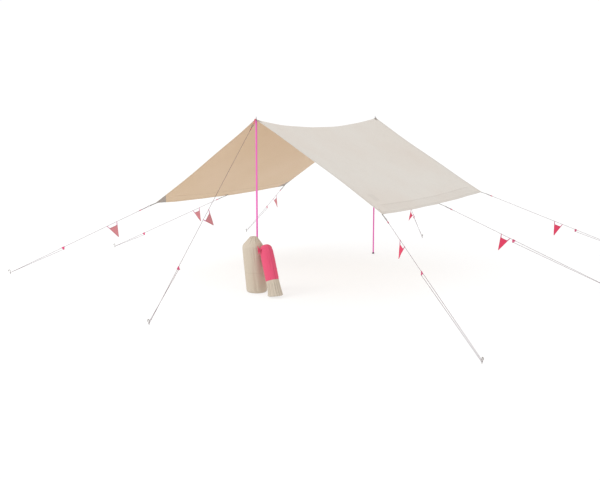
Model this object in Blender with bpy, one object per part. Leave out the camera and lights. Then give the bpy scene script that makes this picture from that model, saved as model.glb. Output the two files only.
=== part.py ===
"""Camping tarp on two poles, held by eight guy lines: the solid parts.

Metres, +Z up, level ground at z = 0. The ridge runs front to rear along Y,
the left eave is at -X and the right eave, guyed a little higher, at +X.
"""
import math

import bmesh
import bpy
from mathutils import Vector

for old in list(bpy.data.objects):
    bpy.data.objects.remove(old, do_unlink=True)

# Gap left between pieces that touch.
FIT = 0.0003

# Poles and the canopy that hangs between them.
POLE_Y = 1.511
POLE_RADIUS = 0.011
PIN_RADIUS = 0.004
POLE_TOP = 2.100
FOOT_RADIUS = 0.0175
FOOT_HEIGHT = 0.020
RIDGE_Z = 2.070
RIDGE_SAG = 0.115
RIDGE_HEM = 0.014
RIDGE_DIP = 0.0022
EDGE_SCALLOP = 0.040
CLOTH_THICKNESS = 0.0024
CLOTH_BILLOW = 0.020
LEFT_CORNER = (-1.656, 0.967)
LEFT_MIDDLE = (-1.673, 0.934)
RIGHT_CORNER = (1.705, 1.044)
RIGHT_MIDDLE = (1.722, 1.024)
CLOTH_CELLS = (14, 8)

# Guy ropes, the webbing ties at the canopy and the runners that tighten them.
ROPE_RADIUS = 0.002
ROPE_SIDES = 6
KNOT_RADIUS = 0.0045
TIE_WIDTH = 0.018
TIE_THICKNESS = 0.003
TIE_LEG = 0.045
RING_AT = 0.100
RING_OUTER = 0.012
RING_HOLE = 0.0050
RUNNER_THICKNESS = 0.003
RUNNER_HALF_SPAN = 0.0145
RUNNER_DROP = 0.028
RUNNER_ROUND = 0.0075
RUNNER_HOLE = 0.0038
WEAVE = RUNNER_THICKNESS / 2 + ROPE_RADIUS + 0.0004

# Pegs, drawn from the ground up.
PEG_RADIUS = 0.0035
PEG_HEIGHT = 0.048
PEG_HOOK = 0.011
PEG_NOSE = 0.012
ROPE_ON_PEG = 0.020

# Warning pennants that hang on the ropes by two tapered ears, each with a loop.
PENNANT_DROP = 0.195
PENNANT_TOP_EDGE = 0.040
PENNANT_EAR = (0.026, 0.036)
PENNANT_THICKNESS = 0.002
LOOP_LENGTH = 0.0092
LOOP_BORE = ROPE_RADIUS + 0.0005
LOOP_RADIUS = 0.0045

# Each guy: where it leaves the canopy, its peg, and how far along the rope
# the pennant starts and ends and the runner sits.
GUYS = {
    "front_left": ("left", 0.0, (-3.338, -2.570), 0.573, 0.737, 1.395),
    "mid_left": ("left", 0.5, (-3.755, -0.253), 0.505, 0.645, 1.652),
    "rear_left": ("left", 1.0, (-3.007, 2.275), 0.335, 0.490, 0.781),
    "front_right": ("right", 0.0, (3.385, -2.867), 0.500, 0.640, 1.083),
    "mid_right": ("right", 0.5, (3.7561, 0.680), 0.835, 0.970, 1.012),
    "rear_right": ("right", 1.0, (3.480, 3.4887), 1.261, 1.419, 1.654),
    "front_ridge": ("ridge", 0.0, (0.064, -3.483), 1.363, 1.526, 2.161),
    "rear_ridge": ("ridge", 1.0, (-0.027, 3.366), 2.040, 2.194, 2.232),
}

# Colour, roughness and metallic value of each material slot.
FINISHES = {
    "canopy_cloth": ((0.700, 0.660, 0.600), 0.85, 0.0),
    "pole_paint": ((0.720, 0.130, 0.420), 0.30, 0.6),
    "foot_rubber": ((0.110, 0.080, 0.100), 0.80, 0.0),
    "guy_rope": ((0.620, 0.600, 0.600), 0.80, 0.0),
    "tie_webbing": ((0.300, 0.300, 0.300), 0.85, 0.0),
    "runner_plastic": ((0.700, 0.080, 0.240), 0.45, 0.0),
    "pennant_cloth": ((0.750, 0.060, 0.140), 0.80, 0.0),
    "peg_steel": ((0.350, 0.330, 0.310), 0.40, 1.0),
    "large_sack_cloth": ((0.600, 0.540, 0.450), 0.90, 0.0),
    "small_sack_cloth": ((0.690, 0.110, 0.200), 0.80, 0.0),
}


def material(slot):
    """Make one Principled material from the finish table."""
    colour, roughness, metallic = FINISHES[slot]
    made = bpy.data.materials.new(slot)
    made.use_nodes = True
    shader = made.node_tree.nodes["Principled BSDF"]
    shader.inputs["Base Color"].default_value = (*colour, 1.0)
    shader.inputs["Roughness"].default_value = roughness
    shader.inputs["Metallic"].default_value = metallic
    made.diffuse_color = (*colour, 1.0)
    return made


def add_object(name, slot, verts, faces, origin=(0, 0, 0), smooth=False):
    """Add a mesh object whose origin stands at the given point."""
    origin = Vector(origin)
    mesh = bpy.data.meshes.new(name)
    mesh.from_pydata([tuple(Vector(v) - origin) for v in verts], [], faces)
    mesh.update()
    work = bmesh.new()
    work.from_mesh(mesh)
    bmesh.ops.recalc_face_normals(work, faces=work.faces)
    work.to_mesh(mesh)
    work.free()
    if smooth:
        mesh.shade_smooth()
    thing = bpy.data.objects.new(name, mesh)
    thing.location = origin
    bpy.context.scene.collection.objects.link(thing)
    if slot:
        mesh.materials.append(material(slot))
    return thing


def combine(thing, tool, operation):
    """Apply an exact Boolean to a thing and throw the tool away."""
    modifier = thing.modifiers.new(operation.title(), "BOOLEAN")
    modifier.operation = operation
    modifier.solver = "EXACT"
    modifier.object = tool
    tool.hide_render = True
    tool.display_type = "WIRE"
    bpy.context.view_layer.update()
    graph = bpy.context.evaluated_depsgraph_get()
    mesh = bpy.data.meshes.new_from_object(thing.evaluated_get(graph))
    thing.modifiers.remove(modifier)
    old = thing.data
    thing.data = mesh
    mesh.name = thing.name
    bpy.data.meshes.remove(old)
    bpy.data.objects.remove(tool, do_unlink=True)


def ring_tube(rings):
    """Join rings of equal count into a closed tube with flat ends."""
    verts = [v for ring in rings for v in ring]
    sides = len(rings[0])
    faces = [tuple(reversed(range(sides)))]
    for i in range(len(rings) - 1):
        for j in range(sides):
            k = (j + 1) % sides
            faces.append((i * sides + j, i * sides + k, (i + 1) * sides + k, (i + 1) * sides + j))
    last = (len(rings) - 1) * sides
    faces.append(tuple(range(last, last + sides)))
    return verts, faces


def lathe(centre_and_radius, sides):
    """Stack level rings, each given as a centre and a radius."""
    rings = []
    for centre, radius in centre_and_radius:
        ring = []
        for j in range(sides):
            turn = 2 * math.pi * j / sides
            ring.append(Vector(centre) + radius * Vector((math.cos(turn), math.sin(turn), 0)))
        rings.append(ring)
    return ring_tube(rings)


def swept(points, radii, sides, start_up):
    """Sweep a round section along points, carrying its frame without twist."""
    points = [Vector(p) for p in points]
    rings = []
    up = Vector(start_up).normalized()
    for i, point in enumerate(points):
        before = points[max(i - 1, 0)]
        after = points[min(i + 1, len(points) - 1)]
        along_in = (point - before).normalized() if i else (after - point).normalized()
        along_out = (after - point).normalized() if after != point else along_in
        along = (along_in + along_out).normalized()
        up = (up - up.dot(along) * along).normalized()
        side = along.cross(up)
        ring = []
        for j in range(sides):
            turn = 2 * math.pi * j / sides
            ring.append(point + radii[i] * (math.cos(turn) * up + math.sin(turn) * side))
        rings.append(ring)
    return ring_tube(rings)


def rod(start, end, radius, sides, up):
    """A straight round rod as an object without a material, for Booleans."""
    verts, faces = swept([start, end], [radius, radius], sides, up)
    return add_object("tool", None, verts, faces)


# The canopy.
def eave_point(side, u):
    """Point on an eave, u from 0 at the front corner to 1 at the rear."""
    corner, middle = (LEFT_CORNER, LEFT_MIDDLE) if side == "left" else (RIGHT_CORNER, RIGHT_MIDDLE)
    pull = 4 * u * (1 - u)
    x = corner[0] + pull * (middle[0] - corner[0])
    z = corner[1] + pull * (middle[1] - corner[1])
    return x, z


def canopy_point(side, u, v):
    """Top surface of a panel: u front to rear, v ridge to eave."""
    eave_x, eave_z = eave_point(side, u)
    ridge_z = RIDGE_Z - RIDGE_SAG * 4 * u * (1 - u)
    seam_x = math.copysign(FIT / 2, eave_x)
    half_length = POLE_Y + RIDGE_HEM * (1 - v) - EDGE_SCALLOP * 4 * v * (1 - v)
    x = seam_x + (eave_x - seam_x) * v
    y = -half_length + 2 * half_length * u
    z = ridge_z + (eave_z - ridge_z) * v
    z -= CLOTH_BILLOW * 4 * v * (1 - v) * 4 * u * (1 - u)
    return Vector((x, y, z))


def canopy_normal(side, u, v):
    """Upward unit normal of a panel's top surface."""
    step = 0.01
    u0, u1 = max(u - step, 0), min(u + step, 1)
    v0, v1 = max(v - step, 0), min(v + step, 1)
    along = canopy_point(side, u1, v) - canopy_point(side, u0, v)
    down = canopy_point(side, u, v1) - canopy_point(side, u, v0)
    normal = along.cross(down).normalized()
    return normal if normal.z > 0 else -normal


def build_panel(name, side):
    """One sloping half of the canopy, notched round both pole pins."""
    across, down = CLOTH_CELLS
    drop = Vector((0, 0, -CLOTH_THICKNESS))
    top = [canopy_point(side, i / across, j / down) for i in range(across + 1) for j in range(down + 1)]
    verts = top + [point + drop for point in top]
    count = len(top)
    row = down + 1
    faces = []
    for i in range(across):
        for j in range(down):
            a = i * row + j
            faces.append((a, a + 1, a + row + 1, a + row))
            faces.append((a + count, a + row + count, a + row + 1 + count, a + 1 + count))
    rim = [j for j in range(row)]
    rim += [i * row + down for i in range(1, across + 1)]
    rim += [across * row + j for j in range(down - 1, -1, -1)]
    rim += [i * row for i in range(across - 1, 0, -1)]
    for a, b in zip(rim, rim[1:] + rim[:1]):
        faces.append((a, b, b + count, a + count))
    panel = add_object(name, "canopy_cloth", verts, faces)
    for end in (-1, 1):
        foot = (0, end * POLE_Y, RIDGE_Z - 0.05)
        head = (0, end * POLE_Y, RIDGE_Z + 0.05)
        combine(panel, rod(foot, head, PIN_RADIUS + 0.0006, 16, (1, 0, 0)), "DIFFERENCE")
    return panel


# The poles.
def build_pole(name, end):
    """A pole from inside its foot to the pin that carries the ridge."""
    y = end * POLE_Y
    shoulder = RIDGE_Z - RIDGE_DIP - CLOTH_THICKNESS
    profile = [
        (0.0063, POLE_RADIUS), (shoulder - 0.0139, POLE_RADIUS), (shoulder - 0.0038, PIN_RADIUS + 0.0004),
        (shoulder - 0.0034, PIN_RADIUS), (POLE_TOP - 0.003, PIN_RADIUS), (POLE_TOP, PIN_RADIUS * 0.45),
    ]
    verts, faces = lathe([((0, y, z), r) for z, r in profile], 16)
    add_object(name, "pole_paint", verts, faces, (0, y, 0), smooth=True)


def build_foot(name, end):
    """A rubber foot with a socket for the pole."""
    y = end * POLE_Y
    verts, faces = lathe([((0, y, 0), FOOT_RADIUS), ((0, y, 0.012), FOOT_RADIUS), ((0, y, FOOT_HEIGHT), 0.0145)], 16)
    foot = add_object(name, "foot_rubber", verts, faces, (0, y, 0))
    socket = rod((0, y, 0.006), (0, y, 0.05), POLE_RADIUS + FIT, 16, (1, 0, 0))
    combine(foot, socket, "DIFFERENCE")


class Guy:
    """The straight line of one guy and the directions square to it."""

    def __init__(self, name):
        place, u, peg, flag_start, flag_end, runner = GUYS[name]
        self.name = name
        self.place = place
        self.u = u
        self.flag = (flag_start, flag_end)
        self.runner = runner
        self.peg = Vector((peg[0], peg[1], 0))
        if place == "ridge":
            self.start = Vector((0, POLE_Y * (2 * u - 1), RIDGE_Z + 0.002))
        else:
            self.start = canopy_point(place, u, 1.0) - Vector((0, 0, CLOTH_THICKNESS / 2))
        self.catch = self.peg + Vector((0, 0, ROPE_ON_PEG))
        reach = self.catch - self.start
        self.length = reach.length
        self.along = reach.normalized()
        self.out = Vector((reach.x, reach.y, 0)).normalized()
        self.side = Vector((-self.out.y, self.out.x, 0))
        self.down = self.along.cross(self.side).normalized()
        if self.down.z > 0:
            self.down = -self.down

    def at(self, along, down=0.0, side=0.0):
        """Point at a distance along the rope, below it and beside it."""
        return self.start + along * self.along + down * self.down + side * self.side


def build_tie(guy):
    """A webbing strap from under the canopy to an eye for the rope."""
    if guy.place == "ridge":
        normal_start = Vector((0, 0, 1))
        route = [guy.start + 0.006 * guy.out, guy.start + 0.021 * guy.out, guy.at(RING_AT - 0.008)]
    else:
        inward_u = guy.u + (0.5 - guy.u) * 2 * TIE_LEG * abs(guy.out.y) / POLE_Y
        inward_v = 1 - TIE_LEG * abs(guy.out.x) / 1.99
        normal_start = canopy_normal(guy.place, guy.u, 0.98)
        under = (CLOTH_THICKNESS + FIT + TIE_THICKNESS / 2 + 0.0002) * 1.02
        first = canopy_point(guy.place, inward_u, inward_v) - under * normal_start
        second = canopy_point(guy.place, guy.u, 1.0) - under * normal_start
        route = [first, second, guy.at(RING_AT - 0.008)]
    width = normal_start.cross(route[1] - route[0]).normalized()
    rings = []
    for i, point in enumerate(route):
        before = route[max(i - 1, 0)]
        after = route[min(i + 1, len(route) - 1)]
        along = ((point - before).normalized() + (after - point).normalized()).normalized()
        across = (width - width.dot(along) * along).normalized()
        thick = along.cross(across) * (TIE_THICKNESS / 2)
        half = across * (TIE_WIDTH / 2)
        rings.append([point + half + thick, point - half + thick, point - half - thick, point + half - thick])
    verts, faces = ring_tube(rings)
    tie = add_object("tie_" + guy.name, "tie_webbing", verts, faces)
    eye = guy.at(RING_AT)
    across = (width - width.dot(guy.along) * guy.along).normalized()
    face = guy.along.cross(across).normalized()
    thick = face * (TIE_THICKNESS / 2 + 0.0001)
    combine(tie, rod(eye - thick, eye + thick, RING_OUTER, 14, across), "UNION")
    combine(tie, rod(eye - 5 * thick, eye + 5 * thick, RING_HOLE, 12, across), "DIFFERENCE")
    if guy.place == "ridge":
        thick = Vector((0, 0, TIE_THICKNESS / 2 - 0.0001))
        combine(tie, rod(guy.start - thick, guy.start + thick, RING_OUTER, 16, (1, 0, 0)), "UNION")
        combine(tie, rod(guy.start - 9 * thick, guy.start + 9 * thick, PIN_RADIUS + FIT, 16, (1, 0, 0)), "DIFFERENCE")
    return face


def build_rope(guy, face):
    """One rope: eye through the tie, weave of the runner, loop on the peg."""
    if face.dot(guy.down) < 0:
        face = -face
    thin = ROPE_RADIUS

    def eye(along, off):
        return guy.at(along) + off * face

    lap = TIE_THICKNESS / 2 + thin + 0.0005
    beside = 2 * thin + 0.0006
    points = [
        (eye(0.152, beside), thin), (eye(0.132, beside), thin), (eye(0.114, lap), thin),
        (eye(0.1025, lap), thin), (eye(RING_AT, lap - 0.0025), thin), (eye(RING_AT, 0.0025 - lap), thin),
        (eye(0.1025, -lap), thin), (eye(0.114, -lap), thin), (eye(0.138, 0), thin),
        (eye(0.158, 0), thin), (eye(0.162, 0), KNOT_RADIUS), (eye(0.172, 0), KNOT_RADIUS),
        (eye(0.176, 0), thin),
    ]
    near = guy.runner - RUNNER_HALF_SPAN
    far = guy.runner + RUNNER_HALF_SPAN
    bend = 0.0028

    def weave(along, side, down=0.0):
        return (guy.at(along, down, side), thin)

    points += [
        weave(near - 0.026, 0), weave(near - 0.011, WEAVE), weave(near - bend, WEAVE),
        weave(near, WEAVE - bend), weave(near, bend - WEAVE), weave(near + bend, -WEAVE),
        weave(far - bend, -WEAVE), weave(far, bend - WEAVE), weave(far, WEAVE - bend),
        weave(far + bend, WEAVE), weave(far + 0.011, WEAVE),
    ]
    turn_radius = PEG_RADIUS + thin + 0.0008
    tilt = 1 / guy.along.dot(guy.out)
    for step in range(7):
        turn = math.pi * step / 6
        points.append((guy.at(guy.length + turn_radius * tilt * math.sin(turn), 0, turn_radius * math.cos(turn)), thin))
    apex = guy.runner
    points += [
        weave(apex + 0.020, -WEAVE, RUNNER_DROP - 0.001), weave(apex + bend, -WEAVE, RUNNER_DROP),
        weave(apex, bend - WEAVE, RUNNER_DROP), weave(apex, WEAVE - 0.0006, RUNNER_DROP),
        (guy.at(apex, RUNNER_DROP, WEAVE + 0.0002), KNOT_RADIUS),
        (guy.at(apex, RUNNER_DROP, WEAVE + 0.0042), KNOT_RADIUS),
        (guy.at(apex, RUNNER_DROP, WEAVE + 0.0056), thin),
    ]
    verts, faces = swept([p for p, r in points], [r for p, r in points], ROPE_SIDES, guy.side)
    add_object("guy_rope_" + guy.name, "guy_rope", verts, faces, smooth=True)


def build_runner(guy):
    """A three-hole plate that grips the rope, standing in its upright plane."""
    centres = [(-RUNNER_HALF_SPAN, 0.0), (RUNNER_HALF_SPAN, 0.0), (0.0, RUNNER_DROP)]
    middle = (0.0, RUNNER_DROP / 3)
    outline = []
    for along, down in centres:
        facing = math.atan2(down - middle[1], along - middle[0])
        for step in range(-3, 4):
            turn = facing + math.radians(19) * step
            outline.append((along + RUNNER_ROUND * math.cos(turn), down + RUNNER_ROUND * math.sin(turn)))
    outline.sort(key=lambda p: math.atan2(p[1] - middle[1], p[0] - middle[0]))
    half = RUNNER_THICKNESS / 2
    rings = [[guy.at(guy.runner + a, d, off) for a, d in outline] for off in (-half, half)]
    verts, faces = ring_tube(rings)
    runner = add_object("runner_" + guy.name, "runner_plastic", verts, faces, guy.at(guy.runner))
    for along, down in centres:
        start = guy.at(guy.runner + along, down, -0.01)
        end = guy.at(guy.runner + along, down, 0.01)
        combine(runner, rod(start, end, RUNNER_HOLE, 12, guy.down), "DIFFERENCE")


def build_pennant(guy):
    """A small triangular flag, the ears at its upper corners and their loops."""
    start, end = guy.flag
    middle = (start + end) / 2
    inset = 0.010
    half = PENNANT_THICKNESS / 2
    hang = LOOP_RADIUS * 0.75
    root, corner = PENNANT_EAR
    outline = [
        (start + inset - 0.004, hang), (start + inset + 0.004, hang), (start + root, PENNANT_TOP_EDGE - 0.010),
        (start + corner, PENNANT_TOP_EDGE - 0.002), (middle, PENNANT_TOP_EDGE),
        (end - corner, PENNANT_TOP_EDGE - 0.002), (end - root, PENNANT_TOP_EDGE - 0.010),
        (end - inset - 0.004, hang), (end - inset + 0.004, hang),
        (middle + 0.004, PENNANT_DROP), (middle - 0.004, PENNANT_DROP),
    ]
    rings = [[guy.at(a, d, off) for a, d in outline] for off in (-half, half)]
    verts, faces = ring_tube(rings)
    flag = add_object("pennant_" + guy.name, "pennant_cloth", verts, faces, guy.at(middle))
    for along in (start + inset, end - inset):
        near = guy.at(along - LOOP_LENGTH / 2)
        far = guy.at(along + LOOP_LENGTH / 2)
        combine(flag, rod(near, far, LOOP_RADIUS, 12, guy.down), "UNION")
    combine(flag, rod(guy.at(start - 0.05), guy.at(end + 0.05), LOOP_BORE, 12, guy.down), "DIFFERENCE")


def build_peg(guy):
    """The hooked part of a ground peg that stands above the soil."""
    points = [guy.peg, guy.peg + Vector((0, 0, PEG_HEIGHT))]
    hub = guy.peg + Vector((0, 0, PEG_HEIGHT)) + PEG_HOOK * guy.out
    for step in range(1, 6):
        turn = math.pi * step / 5
        points.append(hub + PEG_HOOK * (Vector((0, 0, math.sin(turn))) - math.cos(turn) * guy.out))
    points.append(points[-1] - Vector((0, 0, PEG_NOSE)))
    verts, faces = swept(points, [PEG_RADIUS] * len(points), 8, guy.side)
    add_object("peg_" + guy.name, "peg_steel", verts, faces, guy.peg, smooth=True)


# The two carry sacks that stand at the front pole. The large one stands on its
# level base, sways, and its neck leans back a little. The small one tips over
# and leans on it, and its base sags towards the ground on the raised side.
LARGE_SACK = {
    "base": (0.0759, -1.6281),
    "top": (0.0292, -1.6582),
    "neck": (0.0168, 0.0109),
    "neck_from": 0.560,
    "rings": [
        (0.000, 0.112), (0.008, 0.121), (0.030, 0.127), (0.250, 0.129), (0.400, 0.129), (0.530, 0.129),
        (0.562, 0.126), (0.582, 0.117), (0.664, 0.054), (0.674, 0.047), (0.680, 0.040),
    ],
}
SMALL_SACK = {
    "base": (0.4317, -1.7500),
    "lean": (-0.3462, 0.1562),
    "sag": 0.040,
    "sag_until": 0.150,
    "rings": [
        (0.000, 0.088), (0.006, 0.092), (0.020, 0.091), (0.060, 0.087), (0.120, 0.083), (0.200, 0.080),
        (0.400, 0.081), (0.520, 0.080), (0.556, 0.076), (0.584, 0.063), (0.599, 0.044), (0.606, 0.020),
    ],
}
SACK_SIDES = 24


def build_large_sack():
    """A filled sack: level rings whose centres sway from base to top."""
    sack = LARGE_SACK
    height = sack["rings"][-1][0]
    rings = []
    for z, radius in sack["rings"]:
        part = z / height
        bend = max(z - sack["neck_from"], 0) / (height - sack["neck_from"])
        centre = [low + part * (high - low) + bend * back
                  for low, high, back in zip(sack["base"], sack["top"], sack["neck"])]
        rings.append(((*centre, z), radius))
    verts, faces = lathe(rings, SACK_SIDES)
    add_object("large_sack", "large_sack_cloth", verts, faces, (*sack["base"], 0), smooth=True)


def build_small_sack():
    """A filled sack tipped about its lowest edge: rings square to its axis."""
    sack = SMALL_SACK
    lean = math.hypot(*sack["lean"])
    axis = Vector((*sack["lean"], math.sqrt(1 - lean * lean)))
    lift = max(radius * lean - along * axis.z for along, radius in sack["rings"])
    base = Vector((*sack["base"], lift))
    across = axis.cross(Vector((0, 0, 1))).normalized()
    uphill = across.cross(axis)
    rings = []
    for along, radius in sack["rings"]:
        sag = sack["sag"] * max(0, 1 - along / sack["sag_until"]) ** 2
        ring = []
        for j in range(SACK_SIDES):
            turn = 2 * math.pi * j / SACK_SIDES
            drop = sag * (1 + math.sin(turn)) / 2
            ring.append(base + (along - drop) * axis + radius * (math.cos(turn) * across + math.sin(turn) * uphill))
        rings.append(ring)
    verts, faces = ring_tube(rings)
    add_object("small_sack", "small_sack_cloth", verts, faces, (*sack["base"], 0), smooth=True)


build_panel("left_panel", "left")
build_panel("right_panel", "right")
build_pole("front_pole", -1)
build_pole("rear_pole", 1)
build_foot("front_pole_foot", -1)
build_foot("rear_pole_foot", 1)
for guy_name in GUYS:
    line = Guy(guy_name)
    eye_face = build_tie(line)
    build_rope(line, eye_face)
    build_runner(line)
    build_pennant(line)
    build_peg(line)
build_large_sack()
build_small_sack()
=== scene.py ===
"""Looks of a camping tarp on two poles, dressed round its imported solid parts.

Metres, +Z up, level ground at z = 0. The ridge runs front to rear along Y,
the left eave is at -X and the right eave, guyed a little higher, at +X.
"""
from __future__ import annotations

import logging
import math
from dataclasses import dataclass, field
from enum import Enum

import bmesh
import bpy
import numpy as np
from mathutils import Matrix, Vector, noise

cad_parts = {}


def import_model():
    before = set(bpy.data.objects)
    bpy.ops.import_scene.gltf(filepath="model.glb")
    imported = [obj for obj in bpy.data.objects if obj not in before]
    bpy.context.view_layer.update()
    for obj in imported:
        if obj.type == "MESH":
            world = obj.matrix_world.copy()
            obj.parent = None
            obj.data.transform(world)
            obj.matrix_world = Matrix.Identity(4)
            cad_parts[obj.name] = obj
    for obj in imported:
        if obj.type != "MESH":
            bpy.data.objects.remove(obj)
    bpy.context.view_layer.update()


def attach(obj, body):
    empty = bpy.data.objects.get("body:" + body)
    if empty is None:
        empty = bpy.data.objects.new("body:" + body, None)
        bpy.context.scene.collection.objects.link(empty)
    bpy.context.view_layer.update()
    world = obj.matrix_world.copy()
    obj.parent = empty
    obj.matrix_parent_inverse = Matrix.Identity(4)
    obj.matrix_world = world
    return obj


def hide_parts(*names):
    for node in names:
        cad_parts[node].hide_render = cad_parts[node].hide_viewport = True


LOG = logging.getLogger("camping_tarp")
Colour = tuple[float, float, float]
Pair = tuple[float, float]
FLAT = "cloth"
# Point attribute that darkens cloth: painted shade at hems, seams, pleats and the sack base, and a patch's plain tone.
TONE_AND_SHADE = "tone"


class Slot(Enum):
    """The record's material slots."""

    CANOPY = "canopy_cloth"
    POLE = "pole_paint"
    FOOT = "foot_rubber"
    ROPE = "guy_rope"
    WEBBING = "tie_webbing"
    RUNNER = "runner_plastic"
    PENNANT = "pennant_cloth"
    STEEL = "peg_steel"
    LARGE_SACK = "large_sack_cloth"
    SMALL_SACK = "small_sack_cloth"


class Place(Enum):
    """Where a guy leaves the canopy, with the sign of that side's X."""

    LEFT = -1
    RIDGE = 0
    RIGHT = 1


class Face(Enum):
    """The two faces of a cloth."""

    OUTER = 1
    INNER = -1


def display(in_light: int, green: int, blue: int) -> Colour:
    """Linear colour of a screen colour.

    Args:
        red, green, blue: the screen colour, 0 to 255.

    Returns:
        The same colour in linear light, 0 to 1.
    """
    shares = [level / 255 for level in (in_light, green, blue)]
    linear = [((share + 0.055) / 1.055) ** 2.4 if share > 0.04 else share / 12.92 for share in shares]
    return linear[0], linear[1], linear[2]


def smooth_step(low: float, high: float, value: np.ndarray) -> np.ndarray:
    """Ease from 0 at low to 1 at high.

    Args:
        low, high: the values where the ease starts and ends.
        value: an array of values.

    Returns:
        The eased shares, in the shape of value.
    """
    share = np.clip((value - low) / (high - low), 0.0, 1.0)
    return share * share * (3 - 2 * share)


class ShaderSketch:
    """Writes the node tree of one material."""

    def __init__(self, name: str) -> None:
        """Start a material with a plain Principled shader.

        Args:
            name: the material's name.
        """
        self.material = bpy.data.materials.new(name)
        self.material.use_nodes = True
        self.tree = self.material.node_tree
        self.shader = self.tree.nodes["Principled BSDF"]

    def add(self, kind: str, inputs: dict | None = None, **settings: object) -> bpy.types.Node:
        """Add a node.

        Args:
            kind: the node's type name.
            inputs: values or sockets for its inputs, by name or number.
            settings: the node's own options.

        Returns:
            The new node.
        """
        node = self.tree.nodes.new(kind)
        for key, value in settings.items():
            setattr(node, key, value)
        for key, value in (inputs or {}).items():
            self.feed(node.inputs[key], value)
        return node

    def feed(self, socket: bpy.types.NodeSocket, value: object) -> None:
        """Link a socket, or set its own value.

        Args:
            socket: the input to fill.
            value: another node's output, or a plain value.
        """
        if isinstance(value, bpy.types.NodeSocket):
            self.tree.links.new(value, socket)
        else:
            socket.default_value = value

    def place(self) -> bpy.types.NodeSocket:
        """Position on the object, in metres."""
        return self.add("ShaderNodeTexCoord").outputs["Object"]

    def flat(self) -> bpy.types.NodeSocket:
        """Position on the cloth laid flat, in metres."""
        return self.add("ShaderNodeUVMap", uv_map=FLAT).outputs["UV"]

    def stretched(self, vector: bpy.types.NodeSocket, scale: tuple) -> bpy.types.NodeSocket:
        """Scale a coordinate by its own factor along each axis.

        Args:
            vector: the coordinate.
            scale: three factors.

        Returns:
            The scaled coordinate.
        """
        return self.add("ShaderNodeMapping", {"Vector": vector, "Scale": scale}).outputs["Vector"]

    def noise(self, vector: bpy.types.NodeSocket, scale: float, detail: float = 3.0) -> bpy.types.NodeSocket:
        """Soft noise from 0 to 1.

        Args:
            vector: the coordinate it follows.
            scale: how many waves there are to a unit.
            detail: how many finer octaves it has.

        Returns:
            The noise value.
        """
        node = self.add("ShaderNodeTexNoise", {"Vector": vector, "Scale": scale, "Detail": detail})
        return node.outputs[0]

    def maths(self, operation: str, first: object, second: object = 0.0) -> bpy.types.NodeSocket:
        """One arithmetic step on varying values.

        Args:
            operation: Blender's name of the operation.
            first, second: its operands.

        Returns:
            The result.
        """
        return self.add("ShaderNodeMath", {0: first, 1: second}, operation=operation).outputs[0]

    def spread(self, value: bpy.types.NodeSocket, low: float, high: float,
               start: float = 0.0, end: float = 1.0) -> bpy.types.NodeSocket:
        """Map a value to a range of its own.

        Args:
            value: what is mapped.
            low, high: the results at start and end.
            start, end: the part of the value's range that counts.

        Returns:
            The mapped value.
        """
        inputs = {"Value": value, "From Min": start, "From Max": end, "To Min": low, "To Max": high}
        return self.add("ShaderNodeMapRange", inputs).outputs[0]

    def blend(self, share: object, first: object, second: object, kind: str = "MIX") -> bpy.types.NodeSocket:
        """Mix two colours.

        Args:
            share: how much of the second there is, 0 to 1.
            first, second: the colours, or sockets that carry them.
            kind: Blender's name of the blend.

        Returns:
            The mixed colour.
        """
        colours = [(*c, 1.0) if isinstance(c, tuple) else c for c in (first, second)]
        inputs = {0: share, 6: colours[0], 7: colours[1]}
        node = self.add("ShaderNodeMix", inputs, data_type="RGBA", blend_type=kind)
        return node.outputs[2]

    def weave(self, flat: bpy.types.NodeSocket, pitch: float) -> bpy.types.NodeSocket:
        """Height of a plain weave.

        Args:
            flat: position on the flat cloth.
            pitch: the distance between yarns.

        Returns:
            The height, 0 in the gaps and 1 on the crown of a yarn.
        """
        turn = math.pi / pitch
        parts = self.add("ShaderNodeSeparateXYZ", {0: self.stretched(flat, (turn, turn, turn))})
        crossing = self.maths("MULTIPLY", self.maths("SINE", parts.outputs[0]), self.maths("SINE", parts.outputs[1]))
        return self.spread(crossing, 0.0, 1.0, -1.0, 1.0)

    def finish(self, colour: object, roughness: object, height: bpy.types.NodeSocket | None = None,
               relief: float = 0.0, strength: float = 1.0) -> bpy.types.Material:
        """Feed the shader and hand over the material.

        Args:
            colour: base colour or its socket.
            roughness: roughness or its socket.
            height: the surface's relief, 0 to 1, where it has one.
            relief: how deep that relief is, in metres.
            strength: how strongly the relief turns the light.

        Returns:
            The finished material.
        """
        self.feed(self.shader.inputs["Base Color"], (*colour, 1.0) if isinstance(colour, tuple) else colour)
        self.feed(self.shader.inputs["Roughness"], roughness)
        if height is not None:
            bump = self.add("ShaderNodeBump", {"Height": height, "Distance": relief, "Strength": strength})
            self.feed(self.shader.inputs["Normal"], bump.outputs[0])
        return self.material


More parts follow.
